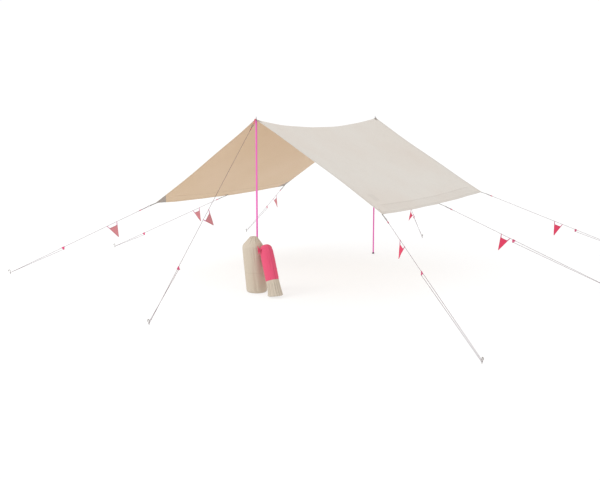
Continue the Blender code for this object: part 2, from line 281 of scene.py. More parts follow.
@dataclass(frozen=True)
class ClothFinish:
    """Woven cloth: crossing yarns, slubs, a cloudy drift of colour and sheen."""

    name: str
    colour: Colour
    drift: Colour
    shadow: Colour
    pitch: float = 0.0010
    relief: float = 0.00020
    sheen: float = 0.12
    rough: Pair = (0.80, 0.94)
    cloud_scale: float = 1.1

    def build(self) -> bpy.types.Material:
        """Make the material."""
        sketch = ShaderSketch(self.name)
        flat = sketch.flat()
        place = sketch.place()
        clouds = sketch.spread(sketch.noise(place, self.cloud_scale, 2.0), 0.0, 1.0, 0.30, 0.70)
        along = sketch.noise(sketch.stretched(flat, (1 / 0.030, 1 / self.pitch / 2, 1)), 1.0, 2.0)
        across = sketch.noise(sketch.stretched(flat, (1 / self.pitch / 2, 1 / 0.030, 1)), 1.0, 2.0)
        slubs = sketch.maths("MULTIPLY", along, across)
        yarns = sketch.weave(flat, self.pitch)
        colour = sketch.blend(clouds, self.colour, self.drift)
        colour = sketch.blend(sketch.spread(slubs, 0.22, 0.0, 0.10, 0.40), colour, self.shadow)
        colour = sketch.blend(sketch.spread(yarns, 0.16, 0.0), colour, self.shadow)
        scuffs = sketch.noise(place, 9.0, 4.0)
        colour = sketch.blend(sketch.spread(scuffs, 0.0, 0.10, 0.55, 0.80), colour, self.shadow)
        # Multiply in the tone attribute: painted shade at hems, seams and grooves, and a patch's plain tone.
        tone = sketch.add("ShaderNodeAttribute", attribute_name=TONE_AND_SHADE).outputs["Fac"]
        colour = sketch.blend(1.0, colour, tone, "MULTIPLY")
        height = sketch.maths("ADD", yarns, slubs)
        sketch.shader.inputs["Sheen Weight"].default_value = self.sheen
        sketch.shader.inputs["Sheen Roughness"].default_value = 0.45
        sketch.shader.inputs["Specular IOR Level"].default_value = 0.25
        return sketch.finish(colour, sketch.spread(scuffs, *self.rough), height, self.relief, 0.6)


@dataclass(frozen=True)
class WebbingFinish:
    """Flat webbing: ribs across the strap and cords along it."""

    name: str
    colour: Colour
    shadow: Colour
    rib: float = 0.0016

    def build(self) -> bpy.types.Material:
        """Make the material."""
        sketch = ShaderSketch(self.name)
        flat = sketch.flat()
        parts = sketch.add("ShaderNodeSeparateXYZ", {0: flat})
        rib_turn = 2 * math.pi / self.rib
        rows = sketch.maths("SINE", sketch.maths("MULTIPLY", parts.outputs[1], rib_turn))
        cords = sketch.maths("SINE", sketch.maths("MULTIPLY", parts.outputs[0], rib_turn * 0.8))
        height = sketch.spread(sketch.maths("ADD", rows, cords), 0.0, 1.0, -2.0, 2.0)
        fuzz = sketch.noise(sketch.place(), 260.0, 3.0)
        colour = sketch.blend(sketch.spread(height, 0.75, 0.0), self.colour, self.shadow)
        colour = sketch.blend(sketch.spread(fuzz, 0.0, 0.35, 0.45, 0.75), colour, self.shadow)
        sketch.shader.inputs["Sheen Weight"].default_value = 0.15
        return sketch.finish(colour, sketch.spread(fuzz, 0.62, 0.85), height, 0.0004, 0.8)


@dataclass(frozen=True)
class BraidFinish:
    """Braided cord: two sets of strands that cross, some in a tracer colour."""

    name: str
    colour: Colour
    tracer: Colour
    shadow: Colour
    lay: float = 0.009
    strands: int = 4

    def build(self) -> bpy.types.Material:
        """Make the material."""
        sketch = ShaderSketch(self.name)
        parts = sketch.add("ShaderNodeSeparateXYZ", {0: sketch.flat()})
        around = sketch.maths("MULTIPLY", parts.outputs[0], 2 * math.pi * self.strands)
        along = sketch.maths("MULTIPLY", parts.outputs[1], 2 * math.pi * self.strands / self.lay)
        left = sketch.maths("SINE", sketch.maths("ADD", around, along))
        right = sketch.maths("SINE", sketch.maths("SUBTRACT", around, along))
        over = sketch.maths("MAXIMUM", left, right)
        fleck = sketch.maths("MULTIPLY", sketch.maths("SINE", sketch.maths("MULTIPLY", along, 0.25)), left)
        colour = sketch.blend(sketch.spread(fleck, 0.0, 1.0, 0.35, 0.55), self.colour, self.tracer)
        colour = sketch.blend(sketch.spread(over, 0.8, 0.0, -0.6, 0.6), colour, self.shadow)
        sketch.shader.inputs["Sheen Weight"].default_value = 0.1
        fuzz = sketch.noise(sketch.place(), 320.0, 2.0)
        return sketch.finish(colour, sketch.spread(fuzz, 0.60, 0.80), over, 0.0005, 0.8)


@dataclass(frozen=True)
class TubeFinish:
    """Dyed aluminium tube: draw lines along it, fine scratches and a clear skin."""

    name: str
    colour: Colour
    worn: Colour
    metallic: float = 0.15
    rough: Pair = (0.26, 0.42)

    def build(self) -> bpy.types.Material:
        """Make the material."""
        sketch = ShaderSketch(self.name)
        place = sketch.place()
        lines = sketch.noise(sketch.stretched(place, (900.0, 900.0, 2.0)), 1.0, 3.0)
        handling = sketch.noise(place, 14.0, 4.0)
        scratches = sketch.noise(sketch.stretched(place, (300.0, 300.0, 30.0)), 1.0, 5.0)
        colour = sketch.blend(sketch.spread(lines, 0.0, 0.25, 0.35, 0.75), self.colour, self.worn)
        colour = sketch.blend(sketch.spread(scratches, 0.0, 0.45, 0.66, 0.80), colour, self.worn)
        sketch.shader.inputs["Metallic"].default_value = self.metallic
        sketch.shader.inputs["Coat Weight"].default_value = 0.25
        sketch.shader.inputs["Coat Roughness"].default_value = 0.15
        return sketch.finish(colour, sketch.spread(handling, *self.rough), lines, 0.00005, 0.5)


@dataclass(frozen=True)
class MetalFinish:
    """Bare or darkened metal with brushed grain and dull patches."""

    name: str
    colour: Colour
    dull: Colour
    rough: Pair = (0.28, 0.55)
    grain: float = 400.0

    def build(self) -> bpy.types.Material:
        """Make the material."""
        sketch = ShaderSketch(self.name)
        place = sketch.place()
        grain = sketch.noise(place, self.grain, 4.0)
        patches = sketch.noise(place, 60.0, 4.0)
        colour = sketch.blend(sketch.spread(patches, 0.0, 0.9, 0.40, 0.70), self.colour, self.dull)
        sketch.shader.inputs["Metallic"].default_value = 0.9
        return sketch.finish(colour, sketch.spread(patches, *self.rough), grain, 0.00004, 0.6)


@dataclass(frozen=True)
class MouldedFinish:
    """Moulded rubber or plastic: fine pebbled skin, scuffed and dusty in places."""

    name: str
    colour: Colour
    scuffed: Colour
    rough: Pair = (0.40, 0.60)
    grain: float = 900.0
    depth: float = 0.00008

    def build(self) -> bpy.types.Material:
        """Make the material."""
        sketch = ShaderSketch(self.name)
        place = sketch.place()
        pebbles = sketch.noise(place, self.grain, 2.0)
        scuffs = sketch.noise(place, 85.0, 5.0)
        colour = sketch.blend(sketch.spread(scuffs, 0.0, 0.7, 0.50, 0.80), self.colour, self.scuffed)
        return sketch.finish(colour, sketch.spread(scuffs, *self.rough), pebbles, self.depth, 0.7)


@dataclass(frozen=True)
class ThreadFinish:
    """Sewing thread: fine twisted plies."""

    name: str
    colour: Colour
    shadow: Colour

    def build(self) -> bpy.types.Material:
        """Make the material."""
        sketch = ShaderSketch(self.name)
        plies = sketch.noise(sketch.place(), 1400.0, 2.0)
        colour = sketch.blend(sketch.spread(plies, 0.6, 0.0, 0.30, 0.60), self.colour, self.shadow)
        sketch.shader.inputs["Sheen Weight"].default_value = 0.2
        return sketch.finish(colour, sketch.spread(plies, 0.70, 0.50), plies, 0.0001, 0.5)


@dataclass(frozen=True)
class FloorFinish:
    """Pale studio floor with the faintest drift of tone."""

    name: str = "studio_floor"
    colour: Colour = (0.30, 0.30, 0.30)
    drift: Colour = (0.29, 0.29, 0.29)
    glow: float = 0.68

    def build(self) -> bpy.types.Material:
        """Make the material."""
        sketch = ShaderSketch(self.name)
        drift = sketch.noise(sketch.place(), 0.4, 2.0)
        sketch.shader.inputs["Emission Color"].default_value = (1.0, 1.0, 1.0, 1.0)
        sketch.shader.inputs["Emission Strength"].default_value = self.glow
        return sketch.finish(sketch.blend(drift, self.colour, self.drift), 0.9)


CANVAS_OUTER = ClothFinish("canvas_outer", display(217, 212, 205), display(215, 206, 197), display(188, 179, 167))
# Painted light: the inner face's warm tan is the glow of light coming through the cloth, not a second colour of canvas.
CANVAS_INNER_BACKLIT = ClothFinish("canvas_inner_backlit", display(219, 195, 168), display(215, 190, 160), display(190, 163, 131))
REINFORCEMENT = ClothFinish("reinforcement_cloth", display(172, 163, 154), display(162, 153, 146), display(126, 118, 112), 0.0014)
# Painted shade: the dull pink pennant and ear colours are the same red cloth as it looks hanging in shadow.
PENNANT_RED = ClothFinish("pennant_red", display(228, 70, 104), display(219, 62, 96), display(180, 44, 76), 0.0006)
PENNANT_SHADED = ClothFinish("pennant_shaded", display(206, 134, 138), display(198, 124, 130), display(164, 98, 106), 0.0006)
EAR_RED = ClothFinish("pennant_ear_red", display(208, 84, 130), display(198, 76, 120), display(150, 52, 88), 0.0006)
EAR_SHADED = ClothFinish("pennant_ear_shaded", display(208, 140, 168), display(200, 130, 158), display(160, 98, 124), 0.0006)
SACK_CANVAS = ClothFinish("sack_canvas", display(203, 193, 179), display(199, 185, 166), display(169, 155, 136), 0.0012, 0.0003)
SACK_PINK = ClothFinish("sack_pink", display(222, 92, 124), display(224, 84, 116), display(190, 62, 94), 0.0008)
PALE_THREAD = ThreadFinish("pale_thread", display(214, 208, 198), display(178, 168, 154))
# Painted light: the inner thread's tan is the glow through the cloth; the thread itself is the pale one.
INNER_THREAD_BACKLIT = ThreadFinish("inner_thread_backlit", display(206, 178, 144), display(168, 140, 108))
PINK_THREAD = ThreadFinish("pink_thread", display(206, 66, 100), display(160, 44, 76))
GREY_WEBBING = WebbingFinish("grey_webbing", display(160, 154, 148), display(108, 102, 98))
PINK_WEBBING = WebbingFinish("pink_webbing", display(214, 112, 112), display(168, 72, 76))
GUY_BRAID = BraidFinish("guy_braid", display(98, 80, 86), display(162, 82, 106), display(68, 54, 58))
PINK_BRAID = BraidFinish("pink_braid", display(222, 72, 112), display(236, 128, 156), display(160, 44, 78))
POLE_DYE = TubeFinish("pole_dye", display(230, 92, 184), display(240, 156, 210))
PIN_METAL = MetalFinish("pin_metal", display(176, 168, 174), display(140, 132, 140), (0.30, 0.50))
FOOT_RUBBER = MouldedFinish("foot_rubber_skin", display(74, 54, 68), display(112, 98, 104), (0.65, 0.90), 700.0, 0.0002)
RUNNER_PINK = MouldedFinish("runner_pink", display(214, 66, 118), display(228, 116, 150))
PEG_STEEL = MetalFinish("peg_steel_bare", display(158, 150, 144), display(112, 102, 96))
RING_METAL = MetalFinish("ring_metal", display(112, 88, 88), display(78, 60, 62))
EYELET_METAL = MetalFinish("eyelet_metal", display(150, 142, 140), display(104, 98, 98))


class FinishRack:
    """Keeps each finish's material once it is made."""

    def __init__(self) -> None:
        """Start with an empty rack."""
        self.made: dict[str, bpy.types.Material] = {}

    def get(self, finish: object) -> bpy.types.Material:
        """Material of a finish, made on first use.

        Args:
            finish: one of the finishes above.

        Returns:
            Its material.
        """
        if finish.name not in self.made:
            self.made[finish.name] = finish.build()
        return self.made[finish.name]


RACK = FinishRack()


@dataclass
class Draft:
    """Points and faces of one piece, with cloth coordinates, tone and finish."""

    points: list = field(default_factory=list)
    faces: list = field(default_factory=list)
    flats: list = field(default_factory=list)
    tones: list = field(default_factory=list)
    finish_of: list = field(default_factory=list)

    def put(self, points: list, faces: list, flats: list | None = None, finish: int = 0,
            tones: list | None = None) -> None:
        """Add a stretch of mesh.

        Args:
            points: its corners.
            faces: its faces, as numbers of those corners.
            flats: for each face, the flat position of each of its corners.
            finish: which of the piece's finishes it wears.
            tones: how light each corner is, 1 where nothing is said.
        """
        start = len(self.points)
        self.points.extend(tuple(point) for point in points)
        self.faces.extend(tuple(start + i for i in face) for face in faces)
        self.flats.extend(flats or [[(0.0, 0.0)] * len(face) for face in faces])
        self.tones.extend(tones or [1.0] * len(points))
        self.finish_of.extend([finish] * len(faces))

    def make(self, name: str, finishes: list, keen: float = 40.0) -> bpy.types.Object:
        """Make the object.

        Args:
            name: the piece's name.
            finishes: the finishes it wears.
            keen: edges that bend by more degrees than this stay crisp.

        Returns:
            The new mesh object, at the origin.
        """
        mesh = bpy.data.meshes.new(name)
        mesh.from_pydata(self.points, [], self.faces)
        layer = mesh.uv_layers.new(name=FLAT)
        layer.data.foreach_set("uv", np.array([xy for face in self.flats for xy in face], dtype=np.float32).ravel())
        tone = mesh.attributes.new(TONE_AND_SHADE, "FLOAT", "POINT")
        tone.data.foreach_set("value", np.array(self.tones, dtype=np.float32))
        mesh.polygons.foreach_set("material_index", np.array(self.finish_of, dtype=np.int32))
        for finish in finishes:
            mesh.materials.append(RACK.get(finish))
        work = bmesh.new()
        work.from_mesh(mesh)
        bmesh.ops.recalc_face_normals(work, faces=work.faces)
        work.to_mesh(mesh)
        work.free()
        mesh.shade_smooth()
        mesh.set_sharp_from_angle(angle=math.radians(keen))
        thing = bpy.data.objects.new(name, mesh)
        bpy.context.scene.collection.objects.link(thing)
        return thing


def dress(thing: bpy.types.Object, body: str, slot: Slot, *nodes: str) -> bpy.types.Object:
    """Let a piece ride on a body and stand for its nodes.

    Args:
        thing: the piece.
        body: the body that carries it.
        slot: the record's slot; not used.
        nodes: the solid nodes that it stands for.

    Returns:
        The same piece.
    """
    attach(thing, body)
    if nodes:
        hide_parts(*nodes)
    LOG.info("%s: %d faces on %s", thing.name, len(thing.data.polygons), body)
    return thing


def eased(route: list[Vector], reach: float, steps: int = 4) -> list[Vector]:
    """Round the corners of a route.

    Args:
        route: its corner points.
        reach: how far from a corner the rounding may start.
        steps: how many short legs each rounding has.

    Returns:
        The points of the rounded route.
    """
    path = [route[0]]
    for before, corner, after in zip(route, route[1:], route[2:]):
        into, out = corner - before, after - corner
        span = min(reach, 0.48 * into.length, 0.48 * out.length)
        start = corner - into.normalized() * span
        end = corner + out.normalized() * span
        for step in range(steps + 1):
            share = step / steps
            path.append(start.lerp(corner, share).lerp(corner.lerp(end, share), share))
    path.append(route[-1])
    return path


def swept(route: list[Vector], section: list[Pair], up: Vector, scales: list[float] | None = None,
          closed: bool = False) -> tuple[list, list, list]:
    """Sweep a section along a route without twist.

    Args:
        route: the points that it follows.
        section: the section's corners, sideways and upwards, in order.
        up: the section's upward direction at the start.
        scales: a factor for the section at each point.
        closed: True where the route is a loop.

    Returns:
        Points, faces and each face's flat positions: share of the way round,
        and metres along.
    """
    count, sides = len(route), len(section)
    scales = scales or [1.0] * count
    points, travelled, along_at = [], 0.0, []
    for i, point in enumerate(route):
        before = route[i - 1] if i or closed else point
        after = route[(i + 1) % count] if i + 1 < count or closed else point
        along = (after - before).normalized()
        up = (up - up.dot(along) * along).normalized()
        side = along.cross(up)
        travelled += (point - before).length if i else 0.0
        along_at.append(travelled)
        points += [point + scales[i] * (x * side + y * up) for x, y in section]
    faces, flats = [], []
    for i in range(count if closed else count - 1):
        k = (i + 1) % count
        far = along_at[k] if k else travelled + (route[0] - route[-1]).length
        for j in range(sides):
            m = (j + 1) % sides
            faces.append((i * sides + j, i * sides + m, k * sides + m, k * sides + j))
            flats.append([(j / sides, along_at[i]), ((j + 1) / sides, along_at[i]), ((j + 1) / sides, far),
                          (j / sides, far)])
    if not closed:
        for first in (0, (count - 1) * sides):
            faces.append(tuple(range(first, first + sides)))
            flats.append([(j / sides, along_at[0 if first == 0 else -1]) for j in range(sides)])
    return points, faces, flats


def round_section(radius: float, sides: int) -> list[Pair]:
    """Corners of a round section.

    Args:
        radius: its radius.
        sides: how many corners it has.

    Returns:
        The corners.
    """
    turns = [2 * math.pi * j / sides for j in range(sides)]
    return [(radius * math.cos(turn), radius * math.sin(turn)) for turn in turns]


def strap_section(width: float, thick: float) -> list[Pair]:
    """Corners of a flat strap with rounded edges.

    Args:
        width: its width.
        thick: its thickness.

    Returns:
        The corners.
    """
    half, rise, nose = width / 2, thick / 2, thick * 0.45
    right = [(half - nose, -rise), (half, -rise * 0.35), (half, rise * 0.35), (half - nose, rise)]
    return right + [(0.0, rise)] + [(-x, y) for x, y in reversed(right)] + [(0.0, -rise)]


def turned(profile: list[Pair], centre: Vector, axis: Vector, sides: int) -> tuple[list, list, list]:
    """Turn a profile about an axis into a closed body.

    Args:
        profile: radius and height pairs from one end to the other; where it
            doesn't start and end on the axis, its two ends are joined.
        centre: the point at height 0.
        axis: the axis, of length 1.
        sides: how many facets it has round.

    Returns:
        Points, faces and flat positions.
    """
    across = axis.orthogonal().normalized()
    other = axis.cross(across)
    hollow = profile[0][0] > 0
    points, rings = [], []
    for radius, height in profile:
        start = len(points)
        if radius <= 0:
            points.append(centre + height * axis)
            rings.append([start] * sides)
            continue
        for j in range(sides):
            turn = 2 * math.pi * j / sides
            points.append(centre + height * axis + radius * (math.cos(turn) * across + math.sin(turn) * other))
        rings.append(list(range(start, start + sides)))
    faces = []
    pairs = list(zip(rings, rings[1:])) + ([(rings[-1], rings[0])] if hollow else [])
    for low, high in pairs:
        for j in range(sides):
            k = (j + 1) % sides
            corners = [low[j], low[k], high[k], high[j]]
            face = tuple(dict.fromkeys(corners))
            faces.append(face)
    return points, faces, [[(0.0, 0.0)] * len(face) for face in faces]


def slab_faces(rows: int, columns: int) -> list[tuple]:
    """Faces of a thin closed slab between two equal grids of points.

    Args:
        rows, columns: the size of each grid.

    Returns:
        The faces, as numbers of the first grid's points and then the second's.
    """
    count = rows * columns
    faces = []
    for i in range(rows - 1):
        for j in range(columns - 1):
            a = i * columns + j
            ring = (a, a + 1, a + columns + 1, a + columns)
            faces += [ring, tuple(k + count for k in reversed(ring))]
    rim = list(range(columns)) + [i * columns + columns - 1 for i in range(1, rows)]
    rim += [(rows - 1) * columns + j for j in range(columns - 2, -1, -1)] + [i * columns for i in range(rows - 2, 0, -1)]
    return faces + [(b, a, a + count, b + count) for a, b in zip(rim, rim[1:] + rim[:1])]


@dataclass
class Stitching:
    """Thread stitches repeated along lines on a surface, by Geometry Nodes."""

    pitch: float = 0.0095
    length: float = 0.0060
    radius: float = 0.00050
    tilt: float = 0.10
    seed: int = 5

    def tree(self) -> bpy.types.NodeTree:
        """Build the node tree.

        Returns:
            A tree with the line, pitch, length, radius, tilt, seed and thread as
            named inputs.
        """
        tree = bpy.data.node_groups.new("stitch_row", "GeometryNodeTree")
        names = [("Line", "NodeSocketGeometry"), ("Pitch", "NodeSocketFloat"), ("Length", "NodeSocketFloat"),
                 ("Radius", "NodeSocketFloat"), ("Tilt", "NodeSocketFloat"), ("Seed", "NodeSocketInt"),
                 ("Thread", "NodeSocketMaterial")]
        for name, kind in names:
            tree.interface.new_socket(name=name, in_out="INPUT", socket_type=kind)
        tree.interface.new_socket(name="Stitches", in_out="OUTPUT", socket_type="NodeSocketGeometry")
        given = tree.nodes.new("NodeGroupInput")
        result = tree.nodes.new("NodeGroupOutput")
        add, link = tree.nodes.new, tree.links.new
        curve = add("GeometryNodeMeshToCurve")
        spaced = add("GeometryNodeResampleCurve")
        spaced.mode = "LENGTH"
        bead = add("GeometryNodeMeshIcoSphere")
        bead.inputs["Subdivisions"].default_value = 1
        stretch = add("ShaderNodeCombineXYZ")
        shaped = add("GeometryNodeTransform")
        facing = add("FunctionNodeAlignRotationToVector")
        facing.axis = "X"
        wobble = add("FunctionNodeRandomValue")
        wobble.data_type = "FLOAT_VECTOR"
        lowest = add("ShaderNodeVectorMath")
        lowest.operation = "SCALE"
        lowest.inputs[0].default_value = (-1.0, -1.0, -1.0)
        highest = add("ShaderNodeVectorMath")
        highest.operation = "SCALE"
        highest.inputs[0].default_value = (1.0, 1.0, 1.0)
        leaning = add("FunctionNodeRotateRotation")
        leaning.rotation_space = "LOCAL"
        turn = add("FunctionNodeEulerToRotation")
        placed = add("GeometryNodeInstanceOnPoints")
        real = add("GeometryNodeRealizeInstances")
        coloured = add("GeometryNodeSetMaterial")
        link(given.outputs["Line"], curve.inputs[0])
        link(curve.outputs[0], spaced.inputs["Curve"])
        link(given.outputs["Pitch"], spaced.inputs["Length"])
        bead.inputs["Radius"].default_value = 1.0
        link(given.outputs["Length"], stretch.inputs[0])
        link(given.outputs["Radius"], stretch.inputs[1])
        link(given.outputs["Radius"], stretch.inputs[2])
        link(bead.outputs["Mesh"], shaped.inputs["Geometry"])
        link(stretch.outputs[0], shaped.inputs["Scale"])
        link(add("GeometryNodeInputTangent").outputs[0], facing.inputs["Vector"])
        link(given.outputs["Tilt"], lowest.inputs["Scale"])
        link(given.outputs["Tilt"], highest.inputs["Scale"])
        link(lowest.outputs[0], wobble.inputs["Min"])
        link(highest.outputs[0], wobble.inputs["Max"])
        link(given.outputs["Seed"], wobble.inputs["Seed"])
        link(wobble.outputs[0], turn.inputs[0])
        link(facing.outputs[0], leaning.inputs["Rotation"])
        link(turn.outputs[0], leaning.inputs["Rotate By"])
        link(spaced.outputs[0], placed.inputs["Points"])
        link(shaped.outputs[0], placed.inputs["Instance"])
        link(leaning.outputs[0], placed.inputs["Rotation"])
        link(placed.outputs[0], real.inputs[0])
        link(real.outputs[0], coloured.inputs["Geometry"])
        link(given.outputs["Thread"], coloured.inputs["Material"])
        link(coloured.outputs[0], result.inputs[0])
        return tree

    def sew(self, name: str, lines: list[list[Vector]], thread: ThreadFinish) -> bpy.types.Object:
        """Sew rows of stitches.

        Args:
            name: the piece's name.
            lines: the rows, each a list of points.
            thread: the thread's finish.

        Returns:
            One plain mesh of all the stitches.
        """
        points = [point for line in lines for point in line]
        edges, start = [], 0
        for line in lines:
            edges += [(start + i, start + i + 1) for i in range(len(line) - 1)]
            start += len(line)
        guide_mesh = bpy.data.meshes.new(name + "_guide")
        guide_mesh.from_pydata([tuple(point) for point in points], edges, [])
        guide = bpy.data.objects.new(name + "_guide", guide_mesh)
        bpy.context.scene.collection.objects.link(guide)
        modifier = guide.modifiers.new("stitches", "NODES")
        modifier.node_group = self.tree()
        values = {"Pitch": self.pitch, "Length": self.length / 2, "Radius": self.radius, "Tilt": self.tilt,
                  "Seed": self.seed, "Thread": RACK.get(thread)}
        for item in modifier.node_group.interface.items_tree:
            if item.in_out == "INPUT" and item.name in values:
                modifier[item.identifier] = values[item.name]
        bpy.context.view_layer.update()
        graph = bpy.context.evaluated_depsgraph_get()
        mesh = bpy.data.meshes.new_from_object(guide.evaluated_get(graph))
        bpy.data.objects.remove(guide, do_unlink=True)
        mesh.name = name
        mesh.shade_smooth()
        thing = bpy.data.objects.new(name, mesh)
        bpy.context.scene.collection.objects.link(thing)
        return thing


@dataclass
class Canopy:
    """The tarp: one sheet from eave to eave over the ridge, hemmed all round."""

    pole_y: float = 1.511
    ridge_z: float = 2.070
    ridge_sag: float = 0.115
    ridge_hem: float = 0.014
    scallop: float = 0.040
    solid_thickness: float = 0.0024
    billow: float = 0.020
    corner: dict = field(default_factory=lambda: {Place.LEFT: (-1.656, 0.967), Place.RIGHT: (1.705, 1.044)})
    middle: dict = field(default_factory=lambda: {Place.LEFT: (-1.673, 0.934), Place.RIGHT: (1.722, 1.024)})
    slope: float = 1.99
    half_cloth: float = 0.00045
    hem: float = 0.045
    hem_extra: float = 0.00050
    seam_up: float = 0.170
    seam_width: float = 0.012
    seam_extra: float = 0.00035
    ridge_round: float = 0.005
    hole: float = 0.0046
    cell: float = 0.0175

    def half_length(self, v: np.ndarray) -> np.ndarray:
        """Half the cloth's length at a place down the slope, 0 ridge to 1 eave."""
        return self.pole_y + self.ridge_hem * (1 - v) - self.scallop * 4 * v * (1 - v)

    def u_at(self, inset: float, v: np.ndarray) -> np.ndarray:
        """Share of the length at a distance in from the front edge."""
        return inset / (2 * self.half_length(v))

    def anchors(self) -> list[tuple[float, float, float, float, int]]:
        """Points that pull the cloth: flat place, fold height, reach and count."""
        found = []
        for side in (-1, 1):
            found += [(side * self.slope, end * self.pole_y, 0.0040, 0.42, 13) for end in (-1, 1)]
            found.append((side * self.slope, 0.0, 0.0034, 0.30, 11))
        found += [(0.0, end * self.pole_y, 0.0022, 0.34, 12) for end in (-1, 1)]
        return found

    def folds(self, flat_x: np.ndarray, flat_y: np.ndarray) -> np.ndarray:
        """Height of tension folds and slack in the cloth.

        Args:
            flat_x: metres down the slope from the ridge, negative on the left.
            flat_y: metres along the ridge.

        Returns:
            How far the cloth stands off its smooth form.
        """
        lift = np.zeros_like(flat_x)
        calm = np.ones_like(flat_x)
        for number, (x, y, height, reach, count) in enumerate(self.anchors()):
            gone = np.hypot(flat_x - x, flat_y - y)
            angle = np.arctan2(flat_y - y, flat_x - x)
            wave = np.cos(count * angle + 1.7 * number) + 0.5 * np.cos((count + 6) * angle + 0.9 * number)
            lift += height * 0.66 * wave * np.clip(gone / 0.07, 0, 1) * np.exp(-gone / reach)
            calm *= 1 - np.exp(-((gone / 0.28) ** 2))
        slack = 0.0026 * np.sin(3.1 * flat_x + 1.9 * flat_y + 0.6) + 0.0018 * np.sin(6.3 * flat_x - 4.1 * flat_y)
        slack += 0.0012 * np.sin(9.5 * flat_y + 5.2 * flat_x + 1.1)
        return lift + slack * calm

    def form(self, u: np.ndarray, w: np.ndarray) -> np.ndarray:
        """Middle of the cloth.

        Args:
            u: share of the length, 0 front to 1 rear.
            w: share of the slope, -1 left eave, 0 ridge, 1 right eave.

        Returns:
            Points, in an array with a last axis of three.
        """
        v = np.abs(w)
        pull = 4 * u * (1 - u)
        left, right = Place.LEFT, Place.RIGHT
        eave_x, eave_z = (
            np.where(w < 0, self.corner[left][k] + pull * (self.middle[left][k] - self.corner[left][k]),
                     self.corner[right][k] + pull * (self.middle[right][k] - self.corner[right][k]))
            for k in (0, 1)
        )
        ridge = self.ridge_z - self.ridge_sag * pull
        x = eave_x * v
        y = self.half_length(v) * (2 * u - 1)
        z = ridge + (eave_z - ridge) * v - self.billow * 4 * v * (1 - v) * pull - self.solid_thickness / 2
        steep = (ridge - eave_z) / np.abs(eave_x)
        z = z - steep * (np.sqrt(x * x + self.ridge_round ** 2) - np.abs(x))
        return np.stack([x, y, z + self.folds(w * self.slope, y)], axis=-1)

    def facing(self, u: np.ndarray, w: np.ndarray) -> np.ndarray:
        """Upward normals of the cloth at the given places."""
        step = 2e-4
        along = self.form(u + step, w) - self.form(u - step, w)
        down = self.form(u, w + step) - self.form(u, w - step)
        normal = np.cross(down, along)
        return normal / np.linalg.norm(normal, axis=-1, keepdims=True)

    def depth(self, u: np.ndarray, w: np.ndarray) -> np.ndarray:
        """Half the cloth's thickness, more at the hems and the felled seam."""
        v = np.abs(w)
        length = 2 * self.half_length(v)
        from_end = np.minimum(u, 1 - u) * length
        from_eave = (1 - v) * self.slope
        hemmed = (from_end < self.hem - 0.0005) | (from_eave < self.hem - 0.0005)
        seam = (np.abs(from_eave - self.seam_up) < self.seam_width / 2) & (u * length > 0.19) & (u * length < 2.82)
        return self.half_cloth + self.hem_extra * hemmed + self.seam_extra * (seam & ~hemmed)

    def tones(self, u: np.ndarray, w: np.ndarray, face: Face) -> np.ndarray:
        """How light the cloth is: painted shade at the doubled hems and the felled seam, lighter at the hems inside,
        and a little darker between the seam and the eave outside.
        """
        v = np.abs(w)
        length = 2 * self.half_length(v)
        from_end = np.minimum(u, 1 - u) * length
        from_eave = (1 - v) * self.slope
        tone = np.ones_like(u)
        hemmed = (from_end < self.hem - 0.0005) | (from_eave < self.hem - 0.0005)
        sewn = (u * length > 0.19) & (u * length < 2.82)
        seam = sewn & (np.abs(from_eave - self.seam_up) < self.seam_width / 2 + 0.0006)
        # Outside: a little darker between the seam and the eave, and painted shade at the hems and the seam.
        if face is Face.OUTER:
            tone = np.where(sewn & (from_eave < self.seam_up), 0.972, tone)
            return np.where(hemmed, 0.93, np.where(seam, 0.92, tone))
        # Inside: painted shade where the doubled cloth would let less of the glow through.
        tone = np.where(hemmed, 0.95, tone)
        return np.where(seam & ~hemmed, 0.88, tone)

    def spot(self, u: float, w: float, lift: float) -> Vector:
        """One point on or off the cloth.

        Args:
            u, w: its place on the cloth.
            lift: how far above the middle of the cloth it is.

        Returns:
            The point.
        """
        one_u, one_w = np.array([u]), np.array([w])
        return Vector(self.form(one_u, one_w)[0] + lift * self.facing(one_u, one_w)[0])

    def slope_lines(self) -> np.ndarray:
        """Places of the grid's lines down both slopes, closer at hems and seams."""
        ridge = [0.0, self.hole / 0.85, 0.012, 0.020, 0.032, 0.048, 0.066]
        seam = [self.seam_up + side * (self.seam_width / 2 + extra) for side, extra in
                ((1, 0.0008), (1, -0.0002), (-1, -0.0002), (-1, 0.0008))]
        seam_places = [self.slope - inset for inset in seam]
        hem_places = [self.slope - inset for inset in (self.hem, self.hem - 0.001, 0.030, 0.014, 0.003, 0.0)]
        upper = list(np.arange(ridge[-1] + self.cell, seam_places[0] - self.cell / 2, self.cell))
        lower = list(np.linspace(seam_places[-1], hem_places[0], 8)[1:-1])
        places = np.array(ridge + upper + seam_places + lower + hem_places) / self.slope
        return np.concatenate([-places[:0:-1], places])

    def length_lines(self, w: np.ndarray) -> np.ndarray:
        """Share of the length of each grid line, for each line down the slope."""
        near = [0.0, 0.003, self.ridge_hem - self.hole, self.ridge_hem + self.hole, 0.030, self.hem - 0.001, self.hem]
        front = np.array([self.u_at(inset, np.abs(w)) for inset in near])
        count = int((2 * self.pole_y - 2 * self.hem) / self.cell)
        shares = np.linspace(0, 1, count + 1)[1:-1, None]
        middle = front[-1] + shares * (1 - 2 * front[-1])
        return np.concatenate([front, middle, 1 - front[::-1]])

